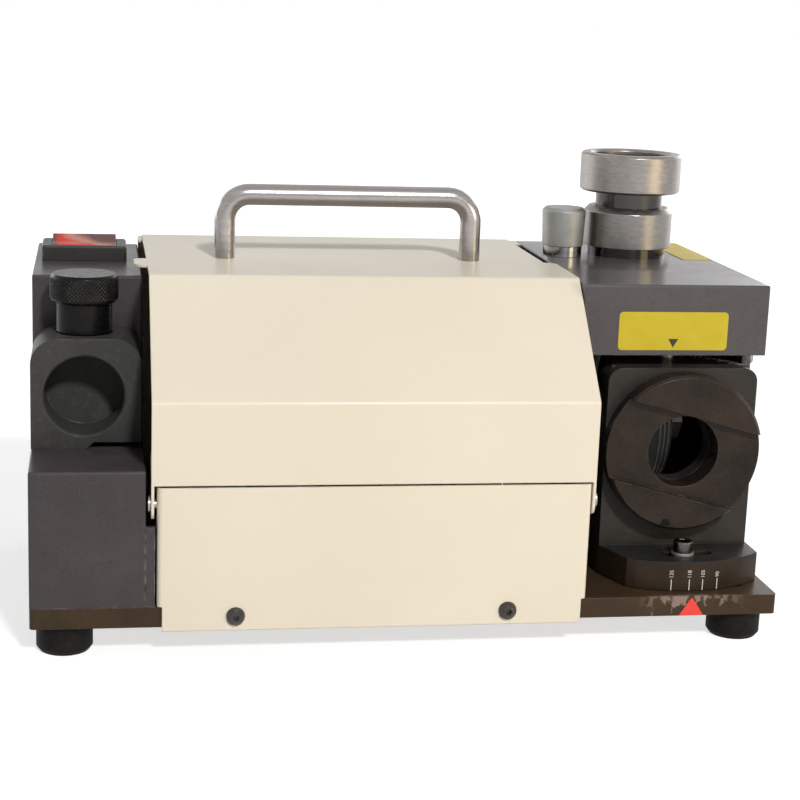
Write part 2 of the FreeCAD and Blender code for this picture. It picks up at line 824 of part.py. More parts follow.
def clamp_slot():
    """Arc slot in the foot, as long as the swivel's travel."""
    half_width = m5_radius + 0.4
    low, high = -swivel_high - 1.0, -swivel_low + 1.0
    height = foot_top - foot_bottom + 2
    sweep = high - low
    centre = Vector(pivot_x, pivot_y, foot_bottom - 1)
    inner = clamp_slot_radius - half_width
    outer = clamp_slot_radius + half_width
    band = Part.makeCylinder(outer, height, centre, ALONG_Z, sweep)
    band = band.cut(Part.makeCylinder(inner, height, centre, ALONG_Z))
    band.rotate(centre, ALONG_Z, low - 90.0)
    for angle in (low, high):
        end = (*about_pivot(angle, clamp_slot_radius), centre.z)
        band = band.fuse(rod(end, ALONG_Z, height, half_width))
    return band.removeSplitter()


def bracket_scale_plate():
    """Half-round plate over the drill point, with a boss about the upper pivot."""
    low = bracket_top - scale_plate_thick
    half = rod((pivot_x, bracket_front, low), ALONG_Z, scale_plate_thick, scale_plate_radius)
    span = (pivot_x - scale_plate_radius, pivot_x + scale_plate_radius)
    depth = (bracket_front - scale_plate_radius, bracket_front + scale_plate_setback)
    front_half = block(span, depth, (low - 1, bracket_top + 1))
    boss = rod((pivot_x, pivot_y, low), ALONG_Z, scale_plate_thick, arm_radius - 1)
    return half.cut(front_half).fuse(boss)


def swivel_bracket():
    span = (pivot_x - bracket_half_width, pivot_x + bracket_half_width)
    outline = [
        (span[0], foot_bottom), (span[1], foot_bottom),
        (span[1], bracket_top, bracket_corner), (span[0], bracket_top, bracket_corner),
    ]
    upright = prism_y(outline, (bracket_front, bracket_front + bracket_thick))
    body = upright.fuse([bracket_foot(), bracket_scale_plate()]).removeSplitter()
    mouth = (pivot_x, bracket_front - 1, drill_height)
    body = body.cut(rod(mouth, ALONG_Y, bracket_thick + 2, chuck_bore))
    hub_seat = disc_hub_radius + slide_gap
    body = body.cut(rod(mouth, ALONG_Y, disc_hub_length + free_gap + 1, hub_seat))
    body = body.cut(clamp_slot())
    lower = lower_pivot_radius + slide_gap
    upper = upper_pivot_radius + slide_gap
    plate_low = bracket_top - scale_plate_thick
    body = body.cut(rod((pivot_x, pivot_y, foot_bottom), ALONG_Z, foot_top - foot_bottom, lower))
    return body.cut(rod((pivot_x, pivot_y, plate_low), ALONG_Z, scale_plate_thick, upper))


def lower_pivot_pin():
    profile = [(0, 0), (lower_pivot_radius, 0), (lower_pivot_radius, foot_top - 1.5),
               (lower_pivot_radius - 1, foot_top - 0.5), (0, foot_top - 0.5)]
    return turned_z(profile, pivot_x, pivot_y)


def upper_pivot_pin():
    low = bracket_top - scale_plate_thick + 0.5
    shoulder = overhang_bottom + wall
    profile = [(0, low), (upper_pivot_radius - 0.8, low), (upper_pivot_radius, low + 0.8),
               (upper_pivot_radius, shoulder), (upper_pivot_radius + 3, shoulder),
               (upper_pivot_radius + 3, shoulder + 3), (0, shoulder + 3)]
    return turned_z(profile, pivot_x, pivot_y)


def clamp_screw():
    """Socket cap screw that locks the swivel at its angle."""
    seat = washer_low + washer_thick
    head, rise = 4.25, 5.0
    shank = m5_radius - slide_gap
    profile = [(0, 1), (shank, 1), (shank, seat), (head, seat),
               (head, seat + rise - 0.4), (head - 0.4, seat + rise), (0, seat + rise)]
    screw = turned_z(profile, *clamp_place)
    socket = prism_z(hexagon(2.0, *clamp_place), (seat + rise - 2.6, seat + rise + 1))
    return screw.cut(socket)


def clamp_washer():
    return ring((*clamp_place, washer_low), ALONG_Z, washer_thick, washer_radius, m5_radius - slide_gap)


def guide_disc():
    """Round disc with two raised segments, whose straight edges steer the drill's chuck."""
    back = bracket_front - free_gap
    hub_end = bracket_front + disc_hub_length
    bevel = 1.2
    profile = [
        (chuck_bore, disc_front), (disc_radius - bevel, disc_front), (disc_radius, disc_front + bevel),
        (disc_radius, back), (disc_hub_radius, back), (disc_hub_radius, hub_end), (chuck_bore, hub_end),
    ]
    disc = turned_y(profile, pivot_x, drill_height)
    groove_middle = drill_height - disc_groove_drop
    groove = block(
        (pivot_x - disc_radius - 1, pivot_x + disc_radius + 1), (disc_front - 1, disc_groove_floor),
        (groove_middle - disc_groove_half, groove_middle + disc_groove_half),
    )
    groove.rotate(Vector(pivot_x, 0, drill_height), ALONG_Y, -disc_groove_tilt)
    return disc.cut(groove)


# Motor, shaft and wheel
def motor_case():
    tube = ring((motor_left, shaft_y, shaft_z), ALONG_X, motor_right - motor_left, motor_radius,
                motor_radius - motor_wall)
    for direction in (1, -1):
        start = (brush_x, shaft_y, shaft_z)
        tube = tube.cut(rod(start, ALONG_Y * direction, motor_radius + 5, brush_holder_radius))
    return tube


def motor_end_cap(edge, outward):
    """Turned end cap with a bearing seat in its boss, and cooling holes about it."""
    boss_end = edge + outward * end_cap_depth
    shoulder = edge + outward * 8.0
    seat = boss_end - outward * (bearing_width + 2.0)
    inside = motor_radius - motor_wall
    profile = [
        (inside, edge), (motor_radius, edge), (motor_radius, shoulder - outward * 2),
        (motor_radius - 4, shoulder), (bearing_radius + 5, shoulder), (bearing_radius + 4, boss_end),
        (shaft_radius + 2, boss_end),
        (shaft_radius + 2, boss_end - outward * 2), (bearing_radius, boss_end - outward * 2),
        (bearing_radius, seat - outward * 0.5), (bearing_radius - 3, seat - outward * 0.5),
        (bearing_radius - 3, shoulder - outward * 3.5), (inside, shoulder - outward * 3.5),
    ]
    cap = turned_x(profile)
    hole_count, hole_radius, hole_circle = 8, 3.5, 27.0
    start = min(edge, boss_end)
    for index in range(hole_count):
        turn = 2 * math.pi * index / hole_count
        place = (start, shaft_y + hole_circle * math.cos(turn), shaft_z + hole_circle * math.sin(turn))
        cap = cap.cut(rod(place, ALONG_X, end_cap_depth, hole_radius))
    return cap


def bearing_starts():
    left = motor_left - end_cap_depth + 2.0
    right = motor_right + end_cap_depth - 2.0 - bearing_width
    return (left, right)


def shaft_bearings():
    bore = shaft_radius + slide_gap
    return Part.makeCompound([
        ring((start, shaft_y, shaft_z), ALONG_X, bearing_width, bearing_radius, bore)
        for start in bearing_starts()
    ])


wheel_front = wheel_back + wheel_width
nut_start = wheel_front + 2.0
nut_width = 9.0
shaft_start = motor_left - end_cap_depth + 0.5
shaft_end = nut_start + nut_width + 2.0


def motor_shaft():
    profile = [(0, shaft_start), (shaft_radius - 0.5, shaft_start), (shaft_radius, shaft_start + 0.5),
               (shaft_radius, shaft_end - 1), (shaft_radius - 1, shaft_end), (0, shaft_end)]
    return turned_x(profile)


def armature():
    start, end, radius = motor_left + 26.0, motor_right - 24.0, motor_radius - motor_wall - 5.0
    core = ring((start, shaft_y, shaft_z), ALONG_X, end - start, radius, shaft_radius)
    slot_count, slot_half, slot_depth = 12, 1.5, 6.0
    rim = shaft_z + radius
    slot = block((start, end), (shaft_y - slot_half, shaft_y + slot_half), (rim - slot_depth, rim + 1))
    for index in range(slot_count):
        cutter = slot.copy()
        cutter.rotate(Vector(0, shaft_y, shaft_z), ALONG_X, 360.0 / slot_count * index)
        core = core.cut(cutter)
    return core


def commutator():
    return ring((brush_x - 8, shaft_y, shaft_z), ALONG_X, 16, commutator_radius, shaft_radius)


def brush_holders():
    """Two tubes through the case, each with a screwed cap outside it."""
    holders = []
    for direction in (1, -1):
        axis = ALONG_Y * direction
        reach = [commutator_radius + 3.0, motor_radius + 1.0, motor_radius + 4.0]
        starts = [(brush_x, shaft_y + direction * distance, shaft_z) for distance in reach]
        tube = rod(starts[0], axis, reach[1] - reach[0], brush_holder_radius)
        cap = rod(starts[1], axis, reach[2] - reach[1], brush_holder_radius + 1.5)
        hollow = rod(starts[0], axis, reach[1] - reach[0] - 2, 3.5)
        holders.append(tube.fuse(cap).removeSplitter().cut(hollow))
    return Part.makeCompound(holders)


def carbon_brushes():
    brushes = []
    for direction in (1, -1):
        start = (brush_x, shaft_y + direction * (commutator_radius + free_gap), shaft_z)
        brushes.append(rod(start, ALONG_Y * direction, 18.0, 3.5))
    return Part.makeCompound(brushes)


def cooling_fan():
    """Radial fan inside the case: a back disc with straight blades."""
    start = motor_right - 18.0
    blade_count, radius, hub = 9, motor_radius - motor_wall - 3.0, 11.0
    fan = ring((start, shaft_y, shaft_z), ALONG_X, 2.0, radius, shaft_radius)
    fan = fan.fuse(ring((start, shaft_y, shaft_z), ALONG_X, 11.0, hub, shaft_radius))
    blade_half, blade_width = 0.8, 9.0
    blade = block((start, start + blade_width), (shaft_y - blade_half, shaft_y + blade_half),
                  (shaft_z + hub - 1, shaft_z + radius - 1))
    blades = []
    for index in range(blade_count):
        copy = blade.copy()
        copy.rotate(Vector(0, shaft_y, shaft_z), ALONG_X, 360.0 / blade_count * index)
        blades.append(copy)
    return fan.fuse(blades).removeSplitter()


saddle_starts = (motor_left + 22.0, motor_right - 28.0)
saddle_width = 12.0
saddle_half = 48.0
strap_thick = 1.5


def motor_saddles():
    """Two cradle blocks between the base plate and the motor."""
    saddles = []
    for start in saddle_starts:
        outline = rectangle((shaft_y - saddle_half, shaft_y + saddle_half), (plate_thick, shaft_z - 6), 2.0)
        saddle = prism_x(outline, (start, start + saddle_width))
        saddles.append(saddle.cut(rod((start, shaft_y, shaft_z), ALONG_X, saddle_width, motor_radius)))
    return Part.makeCompound(saddles)


def motor_straps():
    """Bands over the motor, with a flat ear on each saddle end."""
    foot = shaft_z - 6
    straps = []
    for start in saddle_starts:
        middle = (start, shaft_y, shaft_z)
        band = ring(middle, ALONG_X, saddle_width, motor_radius + strap_thick, motor_radius)
        reach = motor_radius + strap_thick + 1
        below = block((start - 1, start + saddle_width + 1), (shaft_y - reach, shaft_y + reach),
                      (shaft_z - reach, foot))
        band = band.cut(below)
        for side in (1, -1):
            inner = shaft_y + side * (motor_radius - 0.2)
            outer = shaft_y + side * saddle_half
            ear = block((start, start + saddle_width), sorted((inner, outer)), (foot, foot + strap_thick))
            ear = ear.cut(rod(middle, ALONG_X, saddle_width, motor_radius))
            band = band.fuse(ear)
        straps.append(band.removeSplitter())
    return Part.makeCompound(straps)


def strap_screws():
    head = shaft_z - 6 + strap_thick
    profile = [(0, head), (2.6, head), (2.6, head + 2.0), (1.8, head + 2.6), (0, head + 2.6)]
    places = [
        (start + saddle_width / 2, shaft_y + side * (saddle_half - 3.2))
        for start in saddle_starts for side in (1, -1)
    ]
    return Part.makeCompound([turned_z(profile, x, y) for x, y in places])


def bevel_radius(x):
    """Radius of the wheel's cone at a place along the shaft."""
    return wheel_rim - (x - wheel_back) * wheel_slope


def abrasive_ring():
    narrow = bevel_radius(wheel_front)
    profile = [
        (wheel_rim, wheel_back), (narrow, wheel_front),
        (narrow - abrasive_depth, wheel_front), (wheel_rim - abrasive_depth, wheel_back),
    ]
    return turned_x(profile)


def wheel_body():
    dish, hub, lip = 5.0, 14.0, 6.0
    narrow = bevel_radius(wheel_front) - abrasive_depth
    profile = [
        (shaft_radius, wheel_back), (wheel_rim - abrasive_depth, wheel_back), (narrow, wheel_front),
        (narrow - lip, wheel_front - dish), (hub, wheel_front - dish), (hub, wheel_front),
        (shaft_radius, wheel_front),
    ]
    return turned_x(profile)


def wheel_flange():
    profile = [(shaft_radius, wheel_back - 10), (12.0, wheel_back - 10), (18.0, wheel_back - 4),
               (18.0, wheel_back), (shaft_radius, wheel_back)]
    return turned_x(profile)


def wheel_nut():
    nut = prism_x(hexagon(9.5, shaft_y, shaft_z), (nut_start, nut_start + nut_width))
    washer = rod((wheel_front, shaft_y, shaft_z), ALONG_X, nut_start - wheel_front, 13.0)
    bore = rod((wheel_front, shaft_y, shaft_z), ALONG_X, nut_start + nut_width - wheel_front, shaft_radius)
    return nut.fuse(washer).removeSplitter().cut(bore)


# Top port and lock knob
ring_low = right_top + port_neck_rise
ring_high = ring_low + port_ring_height
cup_low = ring_high + sleeve_gap
cup_high = cup_low + cup_height
collar_low = right_top - 11.0
spring_low = right_top - 3.0
spring_high = ring_high - 4.4
spring_middle = (sleeve_stem + sleeve_radius + slide_gap) / 2


def port_collar():
    bevel = 2.2
    guide = sleeve_stem + slide_gap
    bore = sleeve_radius + slide_gap
    profile = [
        (guide, collar_low), (port_neck, collar_low), (port_neck, ring_low), (port_ring_radius, ring_low),
        (port_ring_radius, ring_high - bevel), (port_ring_radius - bevel, ring_high), (bore, ring_high),
        (bore, spring_low), (guide, spring_low),
    ]
    return turned_z(profile, port_x, port_y)


def port_sleeve():
    bevel = 1.0
    cup_floor = cup_high - cup_depth
    profile = [
        (drill_hole, collar_low - 4), (sleeve_stem, collar_low - 4), (sleeve_stem, spring_high),
        (sleeve_radius, spring_high), (sleeve_radius, cup_low), (cup_radius - bevel, cup_low),
        (cup_radius, cup_low + bevel), (cup_radius, cup_high - bevel), (cup_radius - bevel, cup_high),
        (cup_bore + bevel, cup_high), (cup_bore, cup_high - bevel), (cup_bore, cup_floor),
        (drill_hole, cup_floor),
    ]
    return turned_z(profile, port_x, port_y)


def port_spring():
    """Compression spring between the collar's seat and the sleeve's shoulder."""
    low = spring_low + spring_wire + 0.02
    rise = (spring_high - spring_low - 2 * spring_wire - 0.04) / spring_turns
    slope = rise / (2 * math.pi)
    steps = 4 * spring_turns

    def station(step):
        turn = math.pi / 2 * step
        across, deep = spring_middle * math.cos(turn), spring_middle * math.sin(turn)
        place = Vector(port_x + across, port_y + deep, low + slope * turn)
        heading = Vector(-deep, across, slope)
        return place, heading.normalize()

    edges = []
    for step in range(steps):
        edges += two_arcs(*station(step), *station(step + 1))
    start, heading = station(0)
    section = Part.Wire(Part.makeCircle(spring_wire, start, heading))
    print("spring: gap between turns", round(rise - 2 * spring_wire, 2))
    return Part.Wire(edges).makePipeShell([section], True, False)


def lock_bush():
    high = right_top + lock_bush_rise
    profile = [(lock_spindle + slide_gap, right_top), (lock_radius - 1.2, right_top),
               (lock_radius - 1.2, high), (lock_spindle + slide_gap, high)]
    return turned_z(profile, lock_x, lock_y)


def lock_knob():
    low = right_top + lock_bush_rise + 0.2
    high = low + lock_height
    foot = right_top - 14.0
    profile = [
        (0, foot), (lock_spindle - 0.8, foot), (lock_spindle, foot + 0.8), (lock_spindle, low),
        (lock_radius - 0.7, low), (lock_radius, high - 1.5), (lock_radius - 1.5, high), (0, high),
    ]
    return turned_z(profile, lock_x, lock_y)


# All pieces, each written out under its own name
pieces = {
    "base_plate": base_plate(),
    "rubber_feet": rubber_feet(),
    "foot_screws": foot_screws(),
    "left_housing": left_housing(),
    "setting_block": setting_block(),
    "clamp_pin": clamp_pin(),
    "setting_knob": setting_knob(),
    "switch_frame": switch_frame(),
    "switch_rocker": switch_rocker(),
    "cable_gland": cable_gland(),
    "gland_nut": gland_nut(),
    "lower_front_panel": lower_front_panel(),
    "panel_screws": panel_screws(),
    "rear_panel": rear_panel(),
    "lid": lid(),
    "lid_hinge_pins": lid_hinge_pins(),
    "carry_handle": carry_handle(),
    "handle_screws": handle_screws(),
    "right_housing": right_housing(),
    "pivot_shelf": pivot_shelf(),
    "inner_wall": inner_wall(),
    "wheel_guard": wheel_guard(),
    "wheel_cover": wheel_cover(),
    "cover_screws": cover_screws(),
    "swivel_bracket": swivel_bracket(),
    "guide_disc": guide_disc(),
    "lower_pivot_pin": lower_pivot_pin(),
    "upper_pivot_pin": upper_pivot_pin(),
    "clamp_screw": clamp_screw(),
    "clamp_washer": clamp_washer(),
    "motor_case": motor_case(),
    "motor_left_end": motor_end_cap(motor_left, -1),
    "motor_right_end": motor_end_cap(motor_right, 1),
    "shaft_bearings": shaft_bearings(),
    "motor_shaft": motor_shaft(),
    "armature": armature(),
    "commutator": commutator(),
    "brush_holders": brush_holders(),
    "carbon_brushes": carbon_brushes(),
    "cooling_fan": cooling_fan(),
    "motor_saddles": motor_saddles(),
    "motor_straps": motor_straps(),
    "strap_screws": strap_screws(),
    "wheel_body": wheel_body(),
    "abrasive_ring": abrasive_ring(),
    "wheel_flange": wheel_flange(),
    "wheel_nut": wheel_nut(),
    "port_collar": port_collar(),
    "port_sleeve": port_sleeve(),
    "port_spring": port_spring(),
    "lock_bush": lock_bush(),
    "lock_knob": lock_knob(),
}

whole = Part.makeCompound(list(pieces.values())).BoundBox
to_origin = Vector(-(whole.XMin + whole.XMax) / 2, -(whole.YMin + whole.YMax) / 2, foot_height)
print("moved to the origin by", tuple(round(part, 3) for part in to_origin))
print("overall size", round(whole.XLength, 2), round(whole.YLength, 2), round(whole.ZLength, 2))

os.makedirs("parts", exist_ok=True)
for name, shape in pieces.items():
    shape.translate(to_origin)
    shape.exportStep("parts/" + name + ".step")
    solids = shape.Solids
    print(name, "solids", len(solids), "valid", shape.isValid(), "volume", round(shape.Volume, 1))
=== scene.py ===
import json
import math

import bmesh
import bpy
from mathutils import Matrix, Vector


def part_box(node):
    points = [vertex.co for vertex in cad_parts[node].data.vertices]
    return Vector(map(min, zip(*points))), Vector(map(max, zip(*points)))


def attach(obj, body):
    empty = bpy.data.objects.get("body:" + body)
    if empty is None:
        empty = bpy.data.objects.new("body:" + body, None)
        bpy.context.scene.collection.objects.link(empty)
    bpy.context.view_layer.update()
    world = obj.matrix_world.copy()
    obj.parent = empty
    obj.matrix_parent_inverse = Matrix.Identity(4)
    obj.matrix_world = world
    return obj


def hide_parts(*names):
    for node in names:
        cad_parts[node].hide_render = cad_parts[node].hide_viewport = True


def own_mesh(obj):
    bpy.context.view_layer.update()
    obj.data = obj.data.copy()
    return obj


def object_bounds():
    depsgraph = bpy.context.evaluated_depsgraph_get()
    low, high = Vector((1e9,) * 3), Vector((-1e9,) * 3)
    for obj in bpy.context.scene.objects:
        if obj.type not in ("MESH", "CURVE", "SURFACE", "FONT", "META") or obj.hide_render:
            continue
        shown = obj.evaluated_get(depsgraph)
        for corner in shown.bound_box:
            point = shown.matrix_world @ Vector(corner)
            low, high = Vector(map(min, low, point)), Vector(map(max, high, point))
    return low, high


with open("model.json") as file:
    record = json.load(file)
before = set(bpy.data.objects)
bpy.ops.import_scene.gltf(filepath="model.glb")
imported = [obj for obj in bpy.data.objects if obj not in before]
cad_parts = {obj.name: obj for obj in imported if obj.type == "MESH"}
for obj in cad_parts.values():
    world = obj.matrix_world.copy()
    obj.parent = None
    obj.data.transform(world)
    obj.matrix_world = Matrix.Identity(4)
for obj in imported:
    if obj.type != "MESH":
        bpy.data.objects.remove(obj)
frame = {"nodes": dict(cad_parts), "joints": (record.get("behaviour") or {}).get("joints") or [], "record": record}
cad_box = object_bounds()
nodes = frame["nodes"]
joints = {joint["name"]: joint for joint in frame["joints"]}

# Sizes are in millimetres, and places are measured from the base plate's front left bottom corner.
MM = 0.001
RIGHT = Vector((1, 0, 0))
BACK = Vector((0, 1, 0))
UP = Vector((0, 0, 1))
plate_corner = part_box("base_plate")[0]

# Camera as fitted to the photograph: its place, its turns in degrees, its lens and sensor
camera_place = (26.96, -710.44, 259.34)
camera_yaw = 9.828
camera_pitch = 12.755
camera_roll = 2.093
camera_lens = 81.11
camera_sensor = 36.0

# Heads of the top port's sleeve and collar, and the blend from a head to the neck below it, which is darkened as
# painted shade
cup_height = 18.2
ring_height = 18.6
neck_shade_blend = 0.2

# Diamond knurl on the setting knob: the plain margin is left at both ends of the head, the points grow
# over the run-in, a share of the band's height, and the band reaches into the head
knob_head_height = 12.0
knurl_count = 50
knurl_samples = 4
knurl_depth = 0.55
knurl_sink = 0.05
knurl_margin = 1.1
knurl_run_in = 1 / 12
knurl_band = 1.5

# Labels: places are from the right housing's left and lower edges, or its right and back ones
front_label_left = 16.2
front_label_bottom = 2.3
front_label_size = (49.7, 17.0)
label_arrow_tip = (25.0, 1.2)
label_arrow_size = (4.6, 3.9)
top_label_right = 0.8
top_label_back = 4.0
top_label_size = (15.0, 56.0)
label_corner = 1.8
label_thick = 0.22

# Angle scale on the swivel's foot: a mark stands at half its angle's difference from the one at rest
scale_angles = (135, 118, 105, 90)
rest_angle = 118
scale_tick_width = 0.42
scale_tick_low = 0.2
scale_tick_high = 5.1
scale_number_low = 5.7
scale_number_height = 1.75
scale_number_off = 0.02
font_size_per_height = 1.4

# Thin plates: how thick paint is, and the chamfer on their rims as a share of their thickness
paint_thick = 0.06
plate_chamfer = 0.4

# Distances over and under the top of the bracket's foot where its painted shade, dark on top, and its painted warm
# light, brown below, start and end
foot_painted_shade_over = (1.5, 0.5)
foot_painted_warm_light_under = (0.2, 0.8)

# Ticks round the bracket's half-round top plate, in degrees from straight back
rim_radius = 31.6
rim_centre_ahead = 6.0
rim_tick_count = 15
rim_tick_first = 15.0
rim_tick_step = 4.2
rim_tick_short = 3.2
rim_tick_long = 5.5
rim_long_every = 3
rim_tick_width = 0.5

# Pale rings on the wheel where drills have run, lightened as painted glints: their places as shares of its width,
# and half their width where full and where faded
wheel_glint_rings = (0.62, 0.76, 0.90)
wheel_glint_full = 0.20
wheel_glint_faded = 0.40

# Red arrow on the base plate's front edge. The wear round it fades out between two distances beside it
# and behind it, and gets heavier between two heights.
arrow_centre = 281.5
arrow_foot = 0.15
arrow_half_width = 5.5
arrow_tip_half_width = 0.25
arrow_height = 7.9
wear_beside = (10.0, 24.0)
wear_behind = (0.4, 2.5)
wear_above = (1.8, 8.3)

# Index notch on the guide disc, drawn as a dark sheet of painted shade; its place is from the disc's middle and
# its lowest point
index_left = 7.5
index_above = 3.1
index_outline = [(-2.6, -0.6), (-0.9, -1.2), (1.0, -1.0), (2.9, -0.1), (1.3, 2.0), (-0.6, 2.6)]

# Wall inside the lid's left end: its outline is depths and heights, clear of the space over the motor
left_wall_place = 53.6
left_wall_thick = 2.0
left_wall_outline = [
    (3.0, 8.8), (90.0, 8.8), (90.0, 105.8),
    (40.0, 105.8), (40.0, 131.7), (3.0, 95.1),
]

# Stretch of machining marks along the three axes: turned round an upright axis, or drawn along a bar
turned_flat = (0.05, 0.05, 4.0)
turned_short = (0.35, 0.35, 1.4)
drawn_along = (0.03, 3.0, 3.0)

# Commutator bars, and the shares of each where its insulation starts and is full
commutator_bars = 24
insulation_start = 0.86
insulation_full = 0.90

# Light: the sky's level on the part, the floor's tones, half its side in metres and its own glow where it
# is seen, as (distance in metres, level), and the lamps as (place in metres, size, power, tint)
sky_level = 0.15
floor_tones = (0.60, 0.62)
floor_half = 14.0
floor_near = (0.4, 0.66)
floor_far = (1.8, 0.90)
lamps = {
    "key": ((0.34, -1.90, 1.55), (0.22, 0.22), 41.0, (0.97, 0.985, 1.0)),
    "side_fill": ((1.45, -1.45, 0.40), (0.8, 0.5), 11.0, (1.0, 0.80, 0.45)),
    "back_left": ((-1.60, 1.45, 0.55), (1.8, 1.0), 14.0, (1.0, 0.985, 0.96)),
    "back_right": ((1.60, 1.45, 0.55), (1.8, 1.0), 14.0, (1.0, 0.985, 0.96)),
}


def place(x, y, z):
    """A point given in millimetres from the base plate's corner, in the row frame."""
    return plate_corner + Vector((x, y, z)) * MM


# Shader helpers
def start(name):
    """A new node material, its tree and its shader."""
    material = bpy.data.materials.new(name)
    material.use_nodes = True
    tree = material.node_tree
    return material, tree, tree.nodes["Principled BSDF"]


def painted_over(material):
    """Tree, shader and present base colour of a material that gets another layer."""
    tree = material.node_tree
    shader = tree.nodes["Principled BSDF"]
    return tree, shader, shader.inputs["Base Color"].links[0].from_socket


def connect(tree, socket, value):
    """Link a socket to another one, or set it to a plain value."""
    if isinstance(value, bpy.types.NodeSocket):
        tree.links.new(value, socket)
    else:
        socket.default_value = value


def add(tree, kind, **inputs):
    """A shader node with its inputs set to values or linked to sockets."""
    made = tree.nodes.new("ShaderNode" + kind)
    surface(tree, made, **inputs)
    return made


def surface(tree, shader, **inputs):
    """Set or link inputs of a shader or another node; an underscore stands for a space."""
    for name, value in inputs.items():
        connect(tree, shader.inputs[name.replace("_", " ")], value)


def colour(red, green, blue):
    """An opaque colour."""
    return (red, green, blue, 1.0)


def scaled(tone, share):
    """A colour with each of its three parts scaled."""
    return colour(*[part * share for part in tone])


def space(tree, stretch=(1.0, 1.0, 1.0)):
    """Coordinates in metres in the row frame, stretched for brushed or turned marks."""
    coordinates = tree.nodes.new("ShaderNodeTexCoord")
    return add(tree, "Mapping", Vector=coordinates.outputs["Object"], Scale=stretch).outputs["Vector"]


def split(tree, vector):
    """The X, Y and Z outputs of a vector."""
    return add(tree, "SeparateXYZ", Vector=vector).outputs


def noise(tree, vector, scale, detail=2.0, roughness=0.5):
    """Cloudy noise round 0.5."""
    made = add(tree, "TexNoise", Vector=vector, Scale=scale, Detail=detail, Roughness=roughness)
    return made.outputs["Fac"]


def cells(tree, vector, scale, output="Distance"):
    """Scattered cells: the distance to the nearest one, or its colour."""
    return add(tree, "TexVoronoi", Vector=vector, Scale=scale).outputs[output]


def remap(tree, value, low, high, to_low=0.0, to_high=1.0):
    """A clamped linear change of range."""
    made = add(tree, "MapRange", Value=value, From_Min=low, From_Max=high, To_Min=to_low, To_Max=to_high)
    return made.outputs["Result"]


def patches(tree, vector, scale, low, high, detail=2.0, roughness=0.5, most=1.0):
    """Noise cut into patches: 0 where it is under low, and the most where it is over high."""
    return remap(tree, noise(tree, vector, scale, detail, roughness), low, high, 0.0, most)


def math_node(tree, operation, first, second=0.0):
    """A sum, product or other operation on one or two values."""
    made = tree.nodes.new("ShaderNodeMath")
    made.operation = operation
    connect(tree, made.inputs[0], first)
    connect(tree, made.inputs[1], second)
    return made.outputs[0]


def times(tree, first, second):
    """The product of two values."""
    return math_node(tree, "MULTIPLY", first, second)


def distance_from(tree, value, centre):
    """How far a value is from a centre, on either side."""
    return math_node(tree, "ABSOLUTE", math_node(tree, "SUBTRACT", value, centre))


def mix(tree, factor, first, second):
    """Colour between two colours."""
    made = tree.nodes.new("ShaderNodeMix")
    made.data_type = "RGBA"
    by_name = {socket.identifier: socket for socket in made.inputs}
    connect(tree, by_name["Factor_Float"], factor)
    connect(tree, by_name["A_Color"], first)
    connect(tree, by_name["B_Color"], second)
    return next(socket for socket in made.outputs if socket.identifier == "Result_Color")


def soft_edges(tree, radius):
    """Normals rounded over sharp edges, and a mask that is 1 on those edges."""
    flat = 0.99
    sharp = 0.75
    bevel = tree.nodes.new("ShaderNodeBevel")
    bevel.samples = 4
    bevel.inputs["Radius"].default_value = radius * MM
    geometry = tree.nodes.new("ShaderNodeNewGeometry")
    agreement = tree.nodes.new("ShaderNodeVectorMath")
    agreement.operation = "DOT_PRODUCT"
    tree.links.new(bevel.outputs["Normal"], agreement.inputs[0])
    tree.links.new(geometry.outputs["Normal"], agreement.inputs[1])
    return bevel.outputs["Normal"], remap(tree, agreement.outputs["Value"], flat, sharp)


def bump(tree, height, strength, depth, normal=None):
    """Bumped normal; depth is in millimetres."""
    made = add(tree, "Bump", Height=height, Strength=strength, Distance=depth * MM)
    if normal is not None:
        tree.links.new(normal, made.inputs["Normal"])
    return made.outputs["Normal"]


# Paints
def cream_paint():
    """Powder coat with a faint orange peel, a few dust specks and duller handling marks."""
    material, tree, shader = start("cream_paint")
    deep = colour(0.775, 0.700, 0.580)
    pale = colour(0.805, 0.730, 0.610)
    dust = colour(0.30, 0.24, 0.18)
    bare = colour(0.62, 0.53, 0.42)
    here = space(tree)
    rounded, edge = soft_edges(tree, 0.7)
    tone = mix(tree, patches(tree, here, 9.0, 0.35, 0.65, detail=3.0), deep, pale)
    speck = remap(tree, cells(tree, here, 55.0), 0.030, 0.018)
    picked = patches(tree, here, 23.0, 0.60, 0.62, detail=1.0)
    tone = mix(tree, times(tree, speck, picked), tone, dust)
    rubbed = times(tree, edge, patches(tree, here, 120.0, 0.50, 0.62, detail=4.0))
    tone = mix(tree, rubbed, tone, bare)
    smear = remap(tree, noise(tree, here, 18.0, 5.0, 0.65), 0.3, 0.7, 0.30, 0.44)
    peel = bump(tree, noise(tree, here, 900.0), 0.10, 0.05, rounded)
    surface(tree, shader, Base_Color=tone, Roughness=smear, Normal=peel,
            Specular_IOR_Level=0.22, Coat_Weight=0.06, Coat_Roughness=0.15)
    return material


